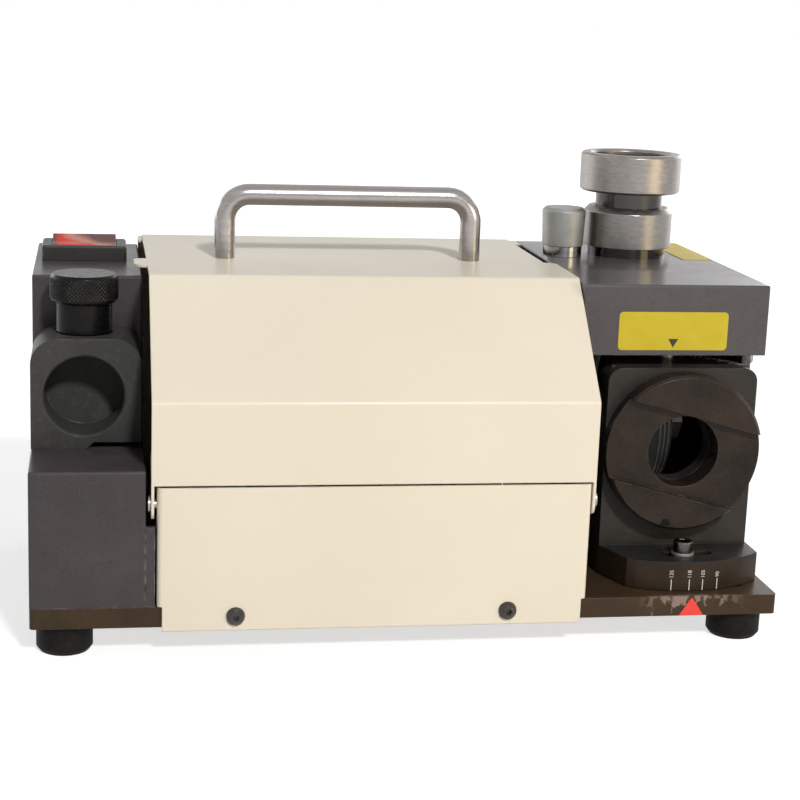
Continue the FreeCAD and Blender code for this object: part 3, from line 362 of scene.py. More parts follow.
def hammered_paint(name, shine, coat):
    """Purple-grey enamel with a fine hammered surface, pigment flecks and pale edges that are partly wear and
    partly a painted highlight.
    """
    material, tree, shader = start(name)
    deep = colour(0.048, 0.041, 0.044)
    pale = colour(0.065, 0.055, 0.058)
    grey_fleck = colour(0.085, 0.076, 0.084)
    brown_fleck = colour(0.060, 0.038, 0.036)
    bare = colour(0.36, 0.355, 0.39)
    here = space(tree)
    rounded, edge = soft_edges(tree, 0.8)
    broad = patches(tree, here, 35.0, 0.3, 0.7, detail=4.0, roughness=0.6)
    tone = mix(tree, broad, deep, pale)
    grey = patches(tree, here, 1100.0, 0.52, 0.72, detail=3.0, roughness=0.7, most=0.6)
    tone = mix(tree, grey, tone, grey_fleck)
    brown = patches(tree, here, 420.0, 0.54, 0.70, detail=3.0, most=0.6)
    tone = mix(tree, brown, tone, brown_fleck)
    # Edges go pale lilac grey: partly wear to bare metal, partly a painted highlight line along the edges.
    rubbed = times(tree, edge, patches(tree, here, 200.0, 0.45, 0.62, detail=4.0))
    tone = mix(tree, rubbed, tone, bare)
    dimples = bump(tree, cells(tree, here, 620.0), 0.10, 0.10, rounded)
    surface(tree, shader, Base_Color=tone, Roughness=remap(tree, broad, 0.0, 1.0, 0.30, 0.40),
            Specular_IOR_Level=shine, Normal=dimples, Coat_Weight=coat, Coat_Roughness=0.09)
    return material


def motor_paint():
    """Dark enamel with a little dust on it."""
    material, tree, shader = start("motor_paint")
    enamel = colour(0.035, 0.037, 0.040)
    dusty = colour(0.12, 0.11, 0.10)
    bare = colour(0.20, 0.20, 0.21)
    here = space(tree)
    rounded, edge = soft_edges(tree, 0.6)
    dust = patches(tree, here, 60.0, 0.5, 0.8, detail=5.0, roughness=0.7, most=0.4)
    tone = mix(tree, dust, enamel, dusty)
    tone = mix(tree, times(tree, edge, 0.5), tone, bare)
    surface(tree, shader, Base_Color=tone, Roughness=remap(tree, dust, 0.0, 0.4, 0.35, 0.6),
            Normal=bump(tree, noise(tree, here, 800.0), 0.1, 0.05, rounded))
    return material


# Metals
def black_oxide(name, dark, light, stretch=(1.0, 1.0, 1.0), roughness=(0.36, 0.50), shine=0.18, bare=1.0):
    """Blackened steel: blotchy, oily satin, with tool marks and edges rubbed lighter."""
    material, tree, shader = start(name)
    bare_steel = (0.16, 0.145, 0.135)
    here = space(tree)
    rounded, edge = soft_edges(tree, 0.5)
    blotch = patches(tree, here, 45.0, 0.30, 0.70, detail=5.0, roughness=0.6)
    tone = mix(tree, blotch, colour(*dark), colour(*light))
    grain = noise(tree, space(tree, stretch), 420.0, 3.0, 0.6)
    tone = mix(tree, remap(tree, grain, 0.55, 0.80, 0.0, 0.35), tone, scaled(light, 1.9))
    rubbed = times(tree, edge, patches(tree, here, 150.0, 0.42, 0.62, detail=4.0))
    tone = mix(tree, rubbed, tone, scaled(bare_steel, bare))
    surface(tree, shader, Base_Color=tone, Metallic=0.05, Specular_IOR_Level=shine,
            Roughness=remap(tree, grain, 0.3, 0.7, *roughness),
            Normal=bump(tree, grain, 0.12, 0.04, rounded))
    return material


def bracket_oxide():
    """Blackened bracket with painted light: its foot's top is darker, a painted shade, and the foot below it is
    browner, a painted warm light.
    """
    material = black_oxide("bracket_oxide", (0.022, 0.019, 0.017), (0.038, 0.033, 0.029), (1.0, 1.0, 3.0))
    tree, shader, painted = painted_over(material)
    foot_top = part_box("clamp_washer")[0].z
    height = split(tree, space(tree))["Z"]
    blotch = patches(tree, space(tree), 60.0, 0.35, 0.65, detail=4.0, roughness=0.6)
    brown = mix(tree, blotch, colour(0.017, 0.011, 0.006), colour(0.032, 0.020, 0.012))
    dark = mix(tree, blotch, colour(0.013, 0.013, 0.012), colour(0.025, 0.024, 0.022))
    over = [foot_top + rise * MM for rise in foot_painted_shade_over]
    under = [foot_top - drop * MM for drop in foot_painted_warm_light_under]
    # Painted shade: the foot's top goes darker.
    tone = mix(tree, remap(tree, height, *over), painted, dark)
    # Painted warm light: the foot's front faces below its top go browner.
    tone = mix(tree, remap(tree, height, *under), tone, brown)
    surface(tree, shader, Base_Color=tone)
    return material


def worn_plate():
    """Blackened base plate, scuffed to bare brown metal round the arrow on its front edge."""
    material = black_oxide("worn_plate", (0.034, 0.021, 0.011), (0.056, 0.034, 0.018), (1.0, 6.0, 6.0))
    tree, shader, painted = painted_over(material)
    scuffed = colour(0.26, 0.185, 0.155)
    parts = split(tree, space(tree))
    centre = place(arrow_centre, 0, 0)
    away = distance_from(tree, parts["X"], centre.x)
    beside = remap(tree, away, wear_beside[1] * MM, wear_beside[0] * MM)
    front = remap(tree, parts["Y"], centre.y + wear_behind[1] * MM, centre.y + wear_behind[0] * MM)
    low, high = (centre.z + height * MM for height in wear_above)
    more_above = remap(tree, parts["Z"], low, high, 0.10, 0.30)
    streaks = noise(tree, space(tree, (1.0, 1.0, 0.45)), 330.0, 5.0, 0.62)
    chips = remap(tree, math_node(tree, "ADD", streaks, more_above), 0.71, 0.76)
    worn = times(tree, times(tree, beside, front), chips)
    surface(tree, shader, Base_Color=mix(tree, worn, painted, scuffed))
    return material


def steel(name, stretch, tone=(0.42, 0.40, 0.385), roughness=(0.24, 0.40), marks=0.35, fineness=260.0):
    """Bare steel with fine machining lines along one direction, and a few stains."""
    material, tree, shader = start(name)
    rubbed = colour(0.62, 0.60, 0.59)
    rounded, edge = soft_edges(tree, 0.5)
    lines = noise(tree, space(tree, stretch), fineness, 4.0, 0.65)
    stain = patches(tree, space(tree), 70.0, 0.35, 0.75, detail=4.0, roughness=0.6)
    base = mix(tree, remap(tree, lines, 0.30, 0.70), scaled(tone, 0.70), colour(*tone))
    base = mix(tree, times(tree, stain, 0.45), base, scaled(tone, 0.62))
    base = mix(tree, times(tree, edge, 0.5), base, rubbed)
    surface(tree, shader, Base_Color=base, Metallic=1.0,
            Roughness=remap(tree, lines, 0.25, 0.75, *roughness),
            Normal=bump(tree, lines, marks * 0.3, 0.03, rounded))
    return material


def necked_steel(name, tone, node, head_height):
    """Matt turned steel, glossier on the neck below a node's head, where its colour is also darkened as painted
    shade.
    """
    material = steel(name, turned_short, tone, (0.26, 0.42), 0.5, 650.0)
    tree, shader, turned = painted_over(material)
    dark = colour(0.055, 0.052, 0.049)
    head_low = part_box(node)[1].z - head_height * MM
    height = split(tree, space(tree))["Z"]
    # The neck's dark colour is painted shade under the head.
    neck = remap(tree, height, head_low + neck_shade_blend * MM, head_low - neck_shade_blend * MM)
    gloss = shader.inputs["Roughness"].links[0].from_socket
    surface(tree, shader, Base_Color=mix(tree, neck, turned, dark),
            Roughness=times(tree, gloss, remap(tree, neck, 0.0, 1.0, 1.0, 0.4)))
    return material


def zinc(name, tone, roughness):
    """Zinc plate over rough bar: grey, grainy and soft in its shine."""
    material, tree, shader = start(name)
    rubbed = colour(0.52, 0.52, 0.51)
    here = space(tree)
    rounded, edge = soft_edges(tree, 0.5)
    grain = noise(tree, here, 480.0, 4.0, 0.65)
    patch = patches(tree, here, 110.0, 0.35, 0.65, detail=3.0)
    base = mix(tree, patch, scaled(tone, 0.85), colour(*tone))
    base = mix(tree, times(tree, edge, 0.4), base, rubbed)
    surface(tree, shader, Base_Color=base, Metallic=0.85,
            Roughness=remap(tree, grain, 0.3, 0.7, *roughness),
            Normal=bump(tree, grain, 0.14, 0.05, rounded))
    return material


def dark_screw():
    """Blackened screw steel with an oily shine."""
    material, tree, shader = start("dark_screw")
    rubbed = colour(0.14, 0.12, 0.10)
    rounded, edge = soft_edges(tree, 0.35)
    patch = patches(tree, space(tree), 400.0, 0.35, 0.65, detail=3.0)
    base = mix(tree, patch, colour(0.016, 0.011, 0.008), colour(0.034, 0.023, 0.016))
    base = mix(tree, times(tree, edge, 0.5), base, rubbed)
    surface(tree, shader, Base_Color=base, Specular_IOR_Level=0.55, Normal=rounded,
            Roughness=remap(tree, patch, 0.0, 1.0, 0.10, 0.20))
    return material


def cast_aluminium():
    """Die cast alloy with a fine skin grain."""
    material, tree, shader = start("cast_aluminium")
    rubbed = colour(0.75, 0.76, 0.77)
    rounded, edge = soft_edges(tree, 0.6)
    grain = noise(tree, space(tree), 650.0, 3.0, 0.6)
    base = mix(tree, remap(tree, grain, 0.35, 0.65), colour(0.46, 0.47, 0.48), colour(0.60, 0.61, 0.62))
    base = mix(tree, times(tree, edge, 0.5), base, rubbed)
    surface(tree, shader, Base_Color=base, Metallic=0.9, Roughness=remap(tree, grain, 0.3, 0.7, 0.40, 0.55),
            Normal=bump(tree, grain, 0.2, 0.06, rounded))
    return material


def copper_bars():
    """Commutator copper, divided into bars by dark insulation lines round the shaft."""
    material, tree, shader = start("copper")
    insulation = colour(0.03, 0.02, 0.02)
    shaft = Vector(joints["spindle_spin"]["pos_m"])
    parts = split(tree, space(tree))
    rise = math_node(tree, "SUBTRACT", parts["Z"], shaft.z)
    depth = math_node(tree, "SUBTRACT", parts["Y"], shaft.y)
    bar = times(tree, math_node(tree, "ARCTAN2", rise, depth), commutator_bars / (2.0 * math.pi))
    gap = remap(tree, math_node(tree, "FRACT", bar), insulation_start, insulation_full)
    worn = patches(tree, space(tree, (8.0, 1.0, 1.0)), 120.0, 0.35, 0.65, detail=3.0)
    base = mix(tree, worn, colour(0.62, 0.29, 0.16), colour(0.74, 0.40, 0.24))
    base = mix(tree, gap, base, insulation)
    surface(tree, shader, Base_Color=base, Metallic=1.0, Roughness=remap(tree, worn, 0.0, 1.0, 0.22, 0.38))
    return material


def lamination_steel():
    """Stacked sheets: fine lines across the shaft."""
    material, tree, shader = start("lamination_steel")
    rusty = colour(0.22, 0.12, 0.07)
    sheets = noise(tree, space(tree, (1.0, 0.02, 0.02)), 1800.0, 1.0)
    rust = patches(tree, space(tree), 90.0, 0.45, 0.75, detail=4.0)
    base = mix(tree, remap(tree, sheets, 0.35, 0.65), colour(0.16, 0.15, 0.14), colour(0.34, 0.32, 0.30))
    base = mix(tree, times(tree, rust, 0.5), base, rusty)
    surface(tree, shader, Base_Color=base, Metallic=0.7, Roughness=0.5,
            Normal=bump(tree, sheets, 0.3, 0.05))
    return material


# Plastics, rubber, carbon and grit
def foot_rubber():
    """Matt moulded rubber with a little dust on it."""
    material, tree, shader = start("foot_rubber")
    here = space(tree)
    grain = noise(tree, here, 700.0, 3.0, 0.6)
    dust = patches(tree, here, 160.0, 0.50, 0.80, detail=5.0, roughness=0.7, most=0.5)
    base = mix(tree, dust, colour(0.008, 0.007, 0.006), colour(0.030, 0.024, 0.018))
    surface(tree, shader, Base_Color=base, Roughness=remap(tree, grain, 0.3, 0.7, 0.55, 0.75),
            Specular_IOR_Level=0.12, Normal=bump(tree, grain, 0.25, 0.06))
    return material


def red_plastic():
    """Red rocker with painted light: a pale streak across is a painted highlight, and painted shade turns it brown
    towards one end and dim at the other.
    """
    material, tree, shader = start("red_plastic")
    red = colour(0.72, 0.040, 0.014)
    highlight_streak = colour(0.62, 0.26, 0.20)
    brown = colour(0.15, 0.055, 0.045)
    shaded_end = colour(0.12, 0.050, 0.040)
    edge_tone = colour(0.30, 0.16, 0.14)
    low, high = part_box("switch_rocker")
    rounded, edge = soft_edges(tree, 0.5)
    parts = split(tree, space(tree))
    cloud = noise(tree, space(tree), 140.0, 3.0, 0.6)
    along = remap(tree, parts["X"], low.x, high.x)
    slant = math_node(tree, "ADD", along, remap(tree, parts["Y"], low.y, high.y, 0.0, 0.5))
    slant = math_node(tree, "ADD", slant, remap(tree, cloud, 0.3, 0.7, -0.06, 0.06))
    # Painted highlight: a pale streak across the rocker.
    base = mix(tree, remap(tree, slant, 0.60, 0.72), red, highlight_streak)
    # Painted shade: brown towards the far end.
    base = mix(tree, remap(tree, slant, 0.78, 1.0), base, brown)
    # Painted shade: dim at the near end.
    base = mix(tree, remap(tree, along, 0.16, 0.08), base, shaded_end)
    base = mix(tree, times(tree, edge, 0.5), base, edge_tone)
    surface(tree, shader, Base_Color=base, Roughness=remap(tree, cloud, 0.3, 0.7, 0.08, 0.18),
            Normal=rounded, Specular_IOR_Level=0.15, Coat_Weight=0.1, Coat_Roughness=0.05)
    return material


def black_plastic():
    """Fine grained black moulding."""
    material, tree, shader = start("black_plastic")
    rubbed = colour(0.09, 0.085, 0.08)
    here = space(tree)
    rounded, edge = soft_edges(tree, 0.6)
    grain = noise(tree, here, 900.0)
    patch = patches(tree, here, 50.0, 0.35, 0.70, detail=3.0)
    base = mix(tree, patch, colour(0.021, 0.020, 0.019), colour(0.034, 0.031, 0.029))
    base = mix(tree, times(tree, edge, 0.3), base, rubbed)
    surface(tree, shader, Base_Color=base, Roughness=remap(tree, grain, 0.3, 0.7, 0.36, 0.50),
            Specular_IOR_Level=0.3, Normal=bump(tree, grain, 0.15, 0.04, rounded))
    return material


def carbon():
    """Pressed carbon with a faint graphite shine."""
    material, tree, shader = start("carbon")
    grain = noise(tree, space(tree), 1500.0, 3.0)
    base = mix(tree, remap(tree, grain, 0.4, 0.7), colour(0.018, 0.018, 0.019), colour(0.06, 0.06, 0.062))
    surface(tree, shader, Base_Color=base, Metallic=0.2, Roughness=0.45,
            Normal=bump(tree, grain, 0.2, 0.05))
    return material


def abrasive():
    """Dark bonded grit with pale rings where drills have run, lightened as painted glints."""
    material, tree, shader = start("abrasive")
    glaze_and_glint = colour(0.46, 0.45, 0.43)
    here = space(tree)
    grit = cells(tree, here, 2600.0)
    value = add(tree, "SeparateColor", Color=cells(tree, here, 2600.0, "Color")).outputs["Red"]
    base = mix(tree, remap(tree, value, 0.2, 0.9), colour(0.016, 0.016, 0.016), colour(0.075, 0.072, 0.068))
    low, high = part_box("abrasive_ring")
    along = split(tree, here)["X"]
    # Each ring is a painted glint: a pale band all round the wheel.
    for share in wheel_glint_rings:
        away = distance_from(tree, along, low.x + share * (high.x - low.x))
        ring = remap(tree, away, wheel_glint_faded * MM, wheel_glint_full * MM)
        base = mix(tree, ring, base, glaze_and_glint)
    surface(tree, shader, Base_Color=base, Metallic=0.2, Roughness=remap(tree, value, 0.0, 1.0, 0.35, 0.8),
            Normal=bump(tree, grit, 0.6, 0.08))
    return material


# Printed film and painted marks
def label_film(name, tone, shade, shine=0.3):
    """Printed film: nearly even colour, faint mottling and a soft gloss."""
    material, tree, shader = start(name)
    here = space(tree)
    mottle = patches(tree, here, 120.0, 0.3, 0.7, detail=3.0)
    surface(tree, shader, Base_Color=mix(tree, mottle, colour(*tone), colour(*shade)),
            Roughness=remap(tree, noise(tree, here, 400.0), 0.3, 0.7, 0.38, 0.52),
            Specular_IOR_Level=shine, Normal=bump(tree, noise(tree, here, 1200.0), 0.05, 0.03))
    return material


def mark_paint(name, tone, thin):
    """Paint in a mark, thin in places so that the metal shows through."""
    material, tree, shader = start(name)
    metal = colour(0.06, 0.05, 0.045)
    here = space(tree)
    missing = patches(tree, here, 900.0, 0.60, 0.72, detail=4.0, roughness=0.7, most=thin)
    surface(tree, shader, Base_Color=mix(tree, missing, colour(*tone), metal),
            Roughness=remap(tree, missing, 0.0, 1.0, 0.45, 0.6),
            Normal=bump(tree, noise(tree, here, 1500.0), 0.1, 0.02))
    return material


# Every solid takes a material of its own, or else that of its slot in the record
slot_materials = {
    "cream_paint": cream_paint(),
    "hammered_paint": hammered_paint("hammered_paint", 0.25, 0.35),
    "black_oxide": black_oxide("black_oxide", (0.026, 0.026, 0.025), (0.042, 0.042, 0.040)),
    "bright_steel": steel("bright_steel", turned_flat),
    "zinc_steel": zinc("zinc_steel", (0.32, 0.325, 0.315), (0.42, 0.58)),
    "dark_screw": dark_screw(),
    "foot_rubber": foot_rubber(),
    "red_plastic": red_plastic(),
    "black_plastic": black_plastic(),
    "motor_paint": motor_paint(),
    "cast_aluminium": cast_aluminium(),
    "lamination_steel": lamination_steel(),
    "copper": copper_bars(),
    "carbon": carbon(),
    "abrasive": abrasive(),
}
node_materials = {
    "base_plate": worn_plate(),
    "left_housing": hammered_paint("dull_hammered_paint", 0.16, 0.10),
    "guide_disc": black_oxide("disc_oxide", (0.010, 0.007, 0.005), (0.033, 0.021, 0.014),
                              roughness=(0.24, 0.38)),
    "swivel_bracket": bracket_oxide(),
    "setting_block": black_oxide("block_oxide", (0.044, 0.043, 0.040), (0.065, 0.064, 0.060),
                                 shine=0.05, bare=1.8),
    "setting_knob": black_oxide("knob_oxide", (0.004, 0.004, 0.004), (0.009, 0.008, 0.008),
                                roughness=(0.20, 0.32), shine=0.12, bare=0.3),
    "carry_handle": steel("handle_steel", drawn_along, (0.38, 0.355, 0.345), (0.16, 0.28), 0.25),
    "port_sleeve": necked_steel("sleeve_steel", (0.29, 0.27, 0.255), "port_sleeve", cup_height),
    "port_collar": necked_steel("collar_steel", (0.27, 0.255, 0.245), "port_collar", ring_height),
    "lock_bush": steel("bush_steel", turned_flat, (0.42, 0.42, 0.43), (0.12, 0.20), 0.1),
    "clamp_screw": steel("screw_black", turned_flat, (0.11, 0.105, 0.095), (0.16, 0.26), 0.1),
    "panel_screws": slot_materials["dark_screw"],
}
for entry in frame["record"]["subparts"]:
    chosen = node_materials.get(entry["node"], slot_materials[entry["material_slot"]])
    mesh = nodes[entry["node"]].data
    mesh.materials.clear()
    mesh.materials.append(chosen)


# Piece helpers
def show(name, data):
    """A new object in the scene."""
    made = bpy.data.objects.new(name, data)
    bpy.context.scene.collection.objects.link(made)
    return made


def add_piece(name, mesh, body):
    """A mesh in the row frame as a piece that rides on a body."""
    piece = show(name, mesh)
    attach(piece, body)
    return piece


def mesh_of(name, shape, material):
    """A mesh from a bmesh, in one material."""
    mesh = bpy.data.meshes.new(name)
    shape.normal_update()
    shape.to_mesh(mesh)
    shape.free()
    mesh.materials.append(material)
    return mesh


def join_rings(shape, below, above):
    """Faces between two closed rings with the same count of points."""
    count = len(below)
    for index in range(count):
        following = (index + 1) % count
        shape.faces.new((below[index], below[following], above[following], above[index]))


def plate_on(shape, outline, plane, thick):
    """Add a thin plate with a chamfered rim; its plane is an origin, a direction across and one up."""
    origin, across, up = plane
    out = across.cross(up).normalized()
    middle = sum((Vector(point) for point in outline), Vector((0.0, 0.0))) / len(outline)
    chamfer = plate_chamfer * thick
    rings = []
    for inset, height in ((0.0, 0.0), (0.0, thick - chamfer), (chamfer, thick)):
        ring = []
        for point in outline:
            flat = Vector(point)
            flat = flat - (flat - middle).normalized() * inset
            ring.append(shape.verts.new(origin + (across * flat.x + up * flat.y + out * height) * MM))
        rings.append(ring)
    for below, above in zip(rings, rings[1:]):
        join_rings(shape, below, above)
    shape.faces.new(rings[-1])
    shape.faces.new(rings[0][::-1])


def lone_plate(name, outline, plane, thick, material, body):
    """One thin plate as a piece of its own."""
    shape = bmesh.new()
    plate_on(shape, outline, plane, thick)
    add_piece(name, mesh_of(name, shape, material), body)


def rounded_rectangle(width, height, radius, steps=6):
    """Outline of a rectangle with round corners, from its lower left corner."""
    centres = [
        (width - radius, radius, -90.0), (width - radius, height - radius, 0.0),
        (radius, height - radius, 90.0), (radius, radius, 180.0),
    ]
    outline = []
    for x, y, first in centres:
        for step in range(steps + 1):
            turn = math.radians(first + 90.0 * step / steps)
            outline.append((x + radius * math.cos(turn), y + radius * math.sin(turn)))
    return outline


# Knurl round the setting knob's head
def round_point(axis, radius, turn, height):
    """A point on a circle round an upright axis."""
    return (axis.x + radius * math.cos(turn), axis.y + radius * math.sin(turn), height)


def diamond(around, along):
    """Height of crossed ridges, from 0 in the grooves to 1 on the points; both places count diamonds."""
    first = abs((around + along) % 1.0 - 0.5) * 2.0
    second = abs((around - along) % 1.0 - 0.5) * 2.0
    return 1.0 - max(first, second)


def knob_knurl():
    """A band of diamonds, closed by a plain wall inside the head."""
    low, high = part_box("setting_knob")
    axis = (low + high) / 2
    radius = (high.x - low.x) / 2
    bottom = high.z - (knob_head_height - knurl_margin) * MM
    top = high.z - knurl_margin * MM
    diamonds_up = (top - bottom) / (2.0 * math.pi * radius / knurl_count)
    rows = round(diamonds_up * 2 * knurl_samples)
    columns = knurl_count * knurl_samples
    turns = [2.0 * math.pi * column / columns for column in range(columns)]
    shape = bmesh.new()
    rings = []
    for row in range(rows + 1):
        share = row / rows
        height = bottom + share * (top - bottom)
        fade = min(1.0, share / knurl_run_in, (1.0 - share) / knurl_run_in)
        ring = []
        for column, turn in enumerate(turns):
            point_height = diamond(column / knurl_samples, share * diamonds_up) * knurl_depth
            reach = radius + (point_height * fade - knurl_sink) * MM
            ring.append(shape.verts.new(round_point(axis, reach, turn, height)))
        rings.append(ring)
    inner = radius - knurl_band * MM
    for height in (top, bottom):
        rings.append([shape.verts.new(round_point(axis, inner, turn, height)) for turn in turns])
    for below, above in zip(rings, rings[1:] + rings[:1]):
        join_rings(shape, below, above)
    mesh = mesh_of("knob_knurl", shape, node_materials["setting_knob"])
    add_piece("knob_knurl", mesh, "setting_knob")


# Wall inside the lid's left end
def left_wall():
    """Twin of the inner wall at the lid's other end, beside the setting block."""
    plane = (place(left_wall_place, 0.0, 0.0), BACK, UP)
    lone_plate("left_inner_wall", left_wall_outline, plane, left_wall_thick,
               slot_materials["hammered_paint"], "frame")


# Spring under the top port's sleeve
def spring_turns():
    """A copy of the spring under the sleeve, on a mesh of its own, shown in place of the original."""
    piece = add_piece("spring_turns", nodes["port_spring"].data.copy(), "frame")
    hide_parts("port_spring")
    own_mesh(piece)


# Labels, left without words
def housing_labels():
    """A label with a plain arrow on the right housing's face, and a bare one on its top."""
    low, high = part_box("right_housing")
    yellow = label_film("label_yellow", (0.53, 0.41, 0.018), (0.57, 0.445, 0.026))
    ink = label_film("label_ink", (0.030, 0.026, 0.012), (0.045, 0.040, 0.020))
    corner = low + Vector((front_label_left * MM, 0, front_label_bottom * MM))
    outline = rounded_rectangle(*front_label_size, label_corner)
    lone_plate("front_label", outline, (corner, RIGHT, UP), label_thick, yellow, "frame")
    x, z = label_arrow_tip
    wide, tall = label_arrow_size
    arrow = [(x, z), (x + wide / 2, z + tall), (x - wide / 2, z + tall)]
    face = corner - BACK * label_thick * MM
    lone_plate("front_label_arrow", arrow, (face, RIGHT, UP), paint_thick, ink, "frame")
    wide, deep = top_label_size
    corner = high - Vector(((top_label_right + wide) * MM, (top_label_back + deep) * MM, 0))
    outline = rounded_rectangle(wide, deep, label_corner)
    lone_plate("top_label", outline, (corner, RIGHT, BACK), label_thick, yellow, "frame")


# Angle marks on the swivel
pivot = Vector(joints["swivel_turn"]["pos_m"])
white = mark_paint("white_mark", (0.62, 0.60, 0.55), 0.85)


def tick_outline(width, low, high):
    """Outline of an upright tick."""
    half = width / 2
    return [(-half, low), (half, low), (half, high), (-half, high)]


def foot_facing(angle):
    """Directions across and out of the foot's front arc where it carries a point angle's mark."""
    turn = math.radians((rest_angle - angle) / 2)
    across = Vector((math.cos(turn), math.sin(turn), 0.0))
    outward = Vector((math.sin(turn), -math.cos(turn), 0.0))
    return across, outward


def foot_scale():
    """Ticks and numbers on the foot's front arc."""
    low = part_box("swivel_bracket")[0]
    centre = Vector((pivot.x, pivot.y, low.z))
    radius = pivot.y - low.y
    tick = tick_outline(scale_tick_width, scale_tick_low, scale_tick_high)
    shape = bmesh.new()
    for angle in scale_angles:
        across, outward = foot_facing(angle)
        plate_on(shape, tick, (centre + outward * radius, across, UP), paint_thick)
    add_piece("foot_scale_ticks", mesh_of("foot_scale_ticks", shape, white), "swivel")
    for angle in scale_angles:
        across, outward = foot_facing(angle)
        foot = centre + outward * (radius + scale_number_off * MM) + UP * scale_number_low * MM
        foot_number(str(angle), foot, across, outward)


def foot_number(text, foot, across, outward):
    """A plain number that reads upwards above its tick."""
    letters = bpy.data.curves.new("number_" + text, "FONT")
    letters.body = text
    letters.align_y = "CENTER"
    letters.size = scale_number_height * font_size_per_height * MM
    letters.extrude = paint_thick / 2 * MM
    drawn = show("number_source_" + text, letters)
    bpy.context.view_layer.update()
    mesh = bpy.data.meshes.new_from_object(drawn.evaluated_get(bpy.context.evaluated_depsgraph_get()))
    bpy.data.objects.remove(drawn)
    turned = Matrix((UP, -across, outward)).transposed().to_4x4()
    mesh.transform(Matrix.Translation(foot) @ turned)
    mesh.materials.clear()
    mesh.materials.append(white)
    add_piece("foot_scale_number_" + text, mesh, "swivel")


def rim_scale():
    """Ticks round the right half of the bracket's half-round top plate."""
    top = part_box("swivel_bracket")[1].z
    disc_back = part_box("guide_disc")[1].y
    centre = Vector((pivot.x, disc_back - rim_centre_ahead * MM, top))
    shape = bmesh.new()
    for index in range(rim_tick_count):
        turn = math.radians(rim_tick_first + rim_tick_step * index)
        across = Vector((math.cos(turn), -math.sin(turn), 0.0))
        outward = Vector((math.sin(turn), math.cos(turn), 0.0))
        length = rim_tick_short if index % rim_long_every else rim_tick_long
        tick = tick_outline(rim_tick_width, -length, 0.0)
        plate_on(shape, tick, (centre + outward * rim_radius * MM, across, outward), paint_thick)
    add_piece("rim_scale_ticks", mesh_of("rim_scale_ticks", shape, white), "swivel")


# Arrow that the angles are read against, and a dark sheet of painted shade for the guide disc's index notch
def plate_arrow():
    """Red arrow with a blunt tip on the base plate's front edge."""
    red = mark_paint("red_mark", (0.80, 0.052, 0.038), 0.25)
    arrow = [
        (-arrow_half_width, arrow_foot), (arrow_half_width, arrow_foot),
        (arrow_tip_half_width, arrow_height), (-arrow_tip_half_width, arrow_height),
    ]
    lone_plate("plate_arrow", arrow, (place(arrow_centre, 0.0, 0.0), RIGHT, UP), paint_thick, red, "frame")


def disc_index():
    """Dark sheet low on the guide disc's lower segment, painted shade that stands for its index notch."""
    low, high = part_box("guide_disc")
    # A nearly black film as the notch's painted shade.
    ink = label_film("index_notch_shade", (0.006, 0.006, 0.005), (0.011, 0.011, 0.009), 0.05)
    middle = (low.x + high.x) / 2
    base = Vector((middle - index_left * MM, low.y, low.z + index_above * MM))
    lone_plate("disc_index", index_outline, (base, RIGHT, UP), paint_thick, ink, "guide_disc")


knob_knurl()
left_wall()
spring_turns()
housing_labels()
foot_scale()
rim_scale()
plate_arrow()
disc_index()


# Stage: floor, light and camera
def seen_directly(tree):
    """1 for what the camera sees itself, or sees in a mirror or through glass."""
    path = tree.nodes.new("ShaderNodeLightPath")
    shown = math_node(tree, "MAXIMUM", path.outputs["Is Camera Ray"], path.outputs["Is Glossy Ray"])
    return math_node(tree, "MAXIMUM", shown, path.outputs["Is Transmission Ray"])


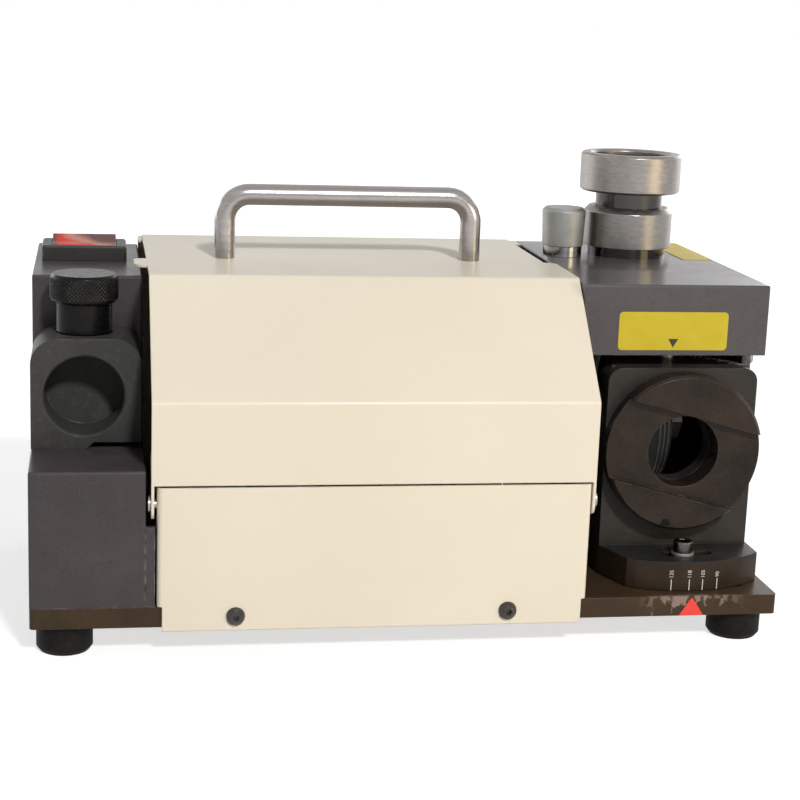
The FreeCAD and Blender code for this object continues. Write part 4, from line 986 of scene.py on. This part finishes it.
def floor():
    """A pale floor that glows towards white where it is seen, and keeps the part's shadow."""
    material, tree, shader = start("floor")
    here = space(tree)
    dull, pale = (colour(tone, tone, tone) for tone in floor_tones)
    away = add(tree, "VectorMath", Vector=here)
    away.operation = "LENGTH"
    glow = remap(tree, away.outputs["Value"], floor_near[0], floor_far[0], floor_near[1], floor_far[1])
    surface(tree, shader, Base_Color=mix(tree, patches(tree, here, 3.0, 0.3, 0.7, detail=3.0), dull, pale),
            Roughness=0.8, Emission_Color=colour(1.0, 1.0, 1.0),
            Emission_Strength=times(tree, seen_directly(tree), glow))
    corners = [(-1, -1), (1, -1), (1, 1), (-1, 1)]
    shape = bmesh.new()
    shape.faces.new([shape.verts.new((x * floor_half, y * floor_half, 0.0)) for x, y in corners])
    show("floor", mesh_of("floor", shape, material))


def area_light(name, spot, size, power, tint):
    """A lamp that faces the part's middle."""
    lamp = bpy.data.lights.new(name, "AREA")
    lamp.shape = "RECTANGLE"
    lamp.size, lamp.size_y = size
    lamp.energy = power
    lamp.color = tint
    made = show(name, lamp)
    made.location = spot
    middle = (cad_box[0] + cad_box[1]) / 2
    made.rotation_euler = (middle - Vector(spot)).to_track_quat("-Z", "Y").to_euler()


def studio():
    """A dim even sky on the part, white where it is seen, and lamps in front, at the side and behind."""
    world = bpy.data.worlds.new("studio")
    world.use_nodes = True
    tree = world.node_tree
    sky = tree.nodes["Background"]
    sky.inputs["Color"].default_value = colour(0.96, 0.98, 1.0)
    sky.inputs["Strength"].default_value = sky_level
    shown = add(tree, "Background", Color=colour(1.0, 1.0, 1.0), Strength=1.0)
    both = add(tree, "MixShader", Fac=seen_directly(tree))
    tree.links.new(sky.outputs["Background"], both.inputs[1])
    tree.links.new(shown.outputs["Background"], both.inputs[2])
    tree.links.new(both.outputs["Shader"], tree.nodes["World Output"].inputs["Surface"])
    bpy.context.scene.world = world
    for name, settings in lamps.items():
        area_light(name, *settings)


def photo_camera():
    """The camera of the photograph, turned by its yaw, pitch and roll."""
    yaw, pitch, roll = (math.radians(turn) for turn in (camera_yaw, camera_pitch, camera_roll))
    forward = Vector((math.sin(yaw) * math.cos(pitch), math.cos(yaw) * math.cos(pitch), -math.sin(pitch)))
    level = Vector((math.cos(yaw), -math.sin(yaw), 0.0))
    upright = level.cross(forward)
    right = level * math.cos(roll) + upright * math.sin(roll)
    up = upright * math.cos(roll) - level * math.sin(roll)
    lens = bpy.data.cameras.new("photo_camera")
    lens.lens = camera_lens
    lens.sensor_width = camera_sensor
    made = show("photo_camera", lens)
    turned = Matrix((right, up, -forward)).transposed().to_4x4()
    made.matrix_world = Matrix.Translation(place(*camera_place)) @ turned
    bpy.context.scene.camera = made


floor()
studio()
photo_camera()
bpy.context.scene.view_settings.view_transform = "Standard"
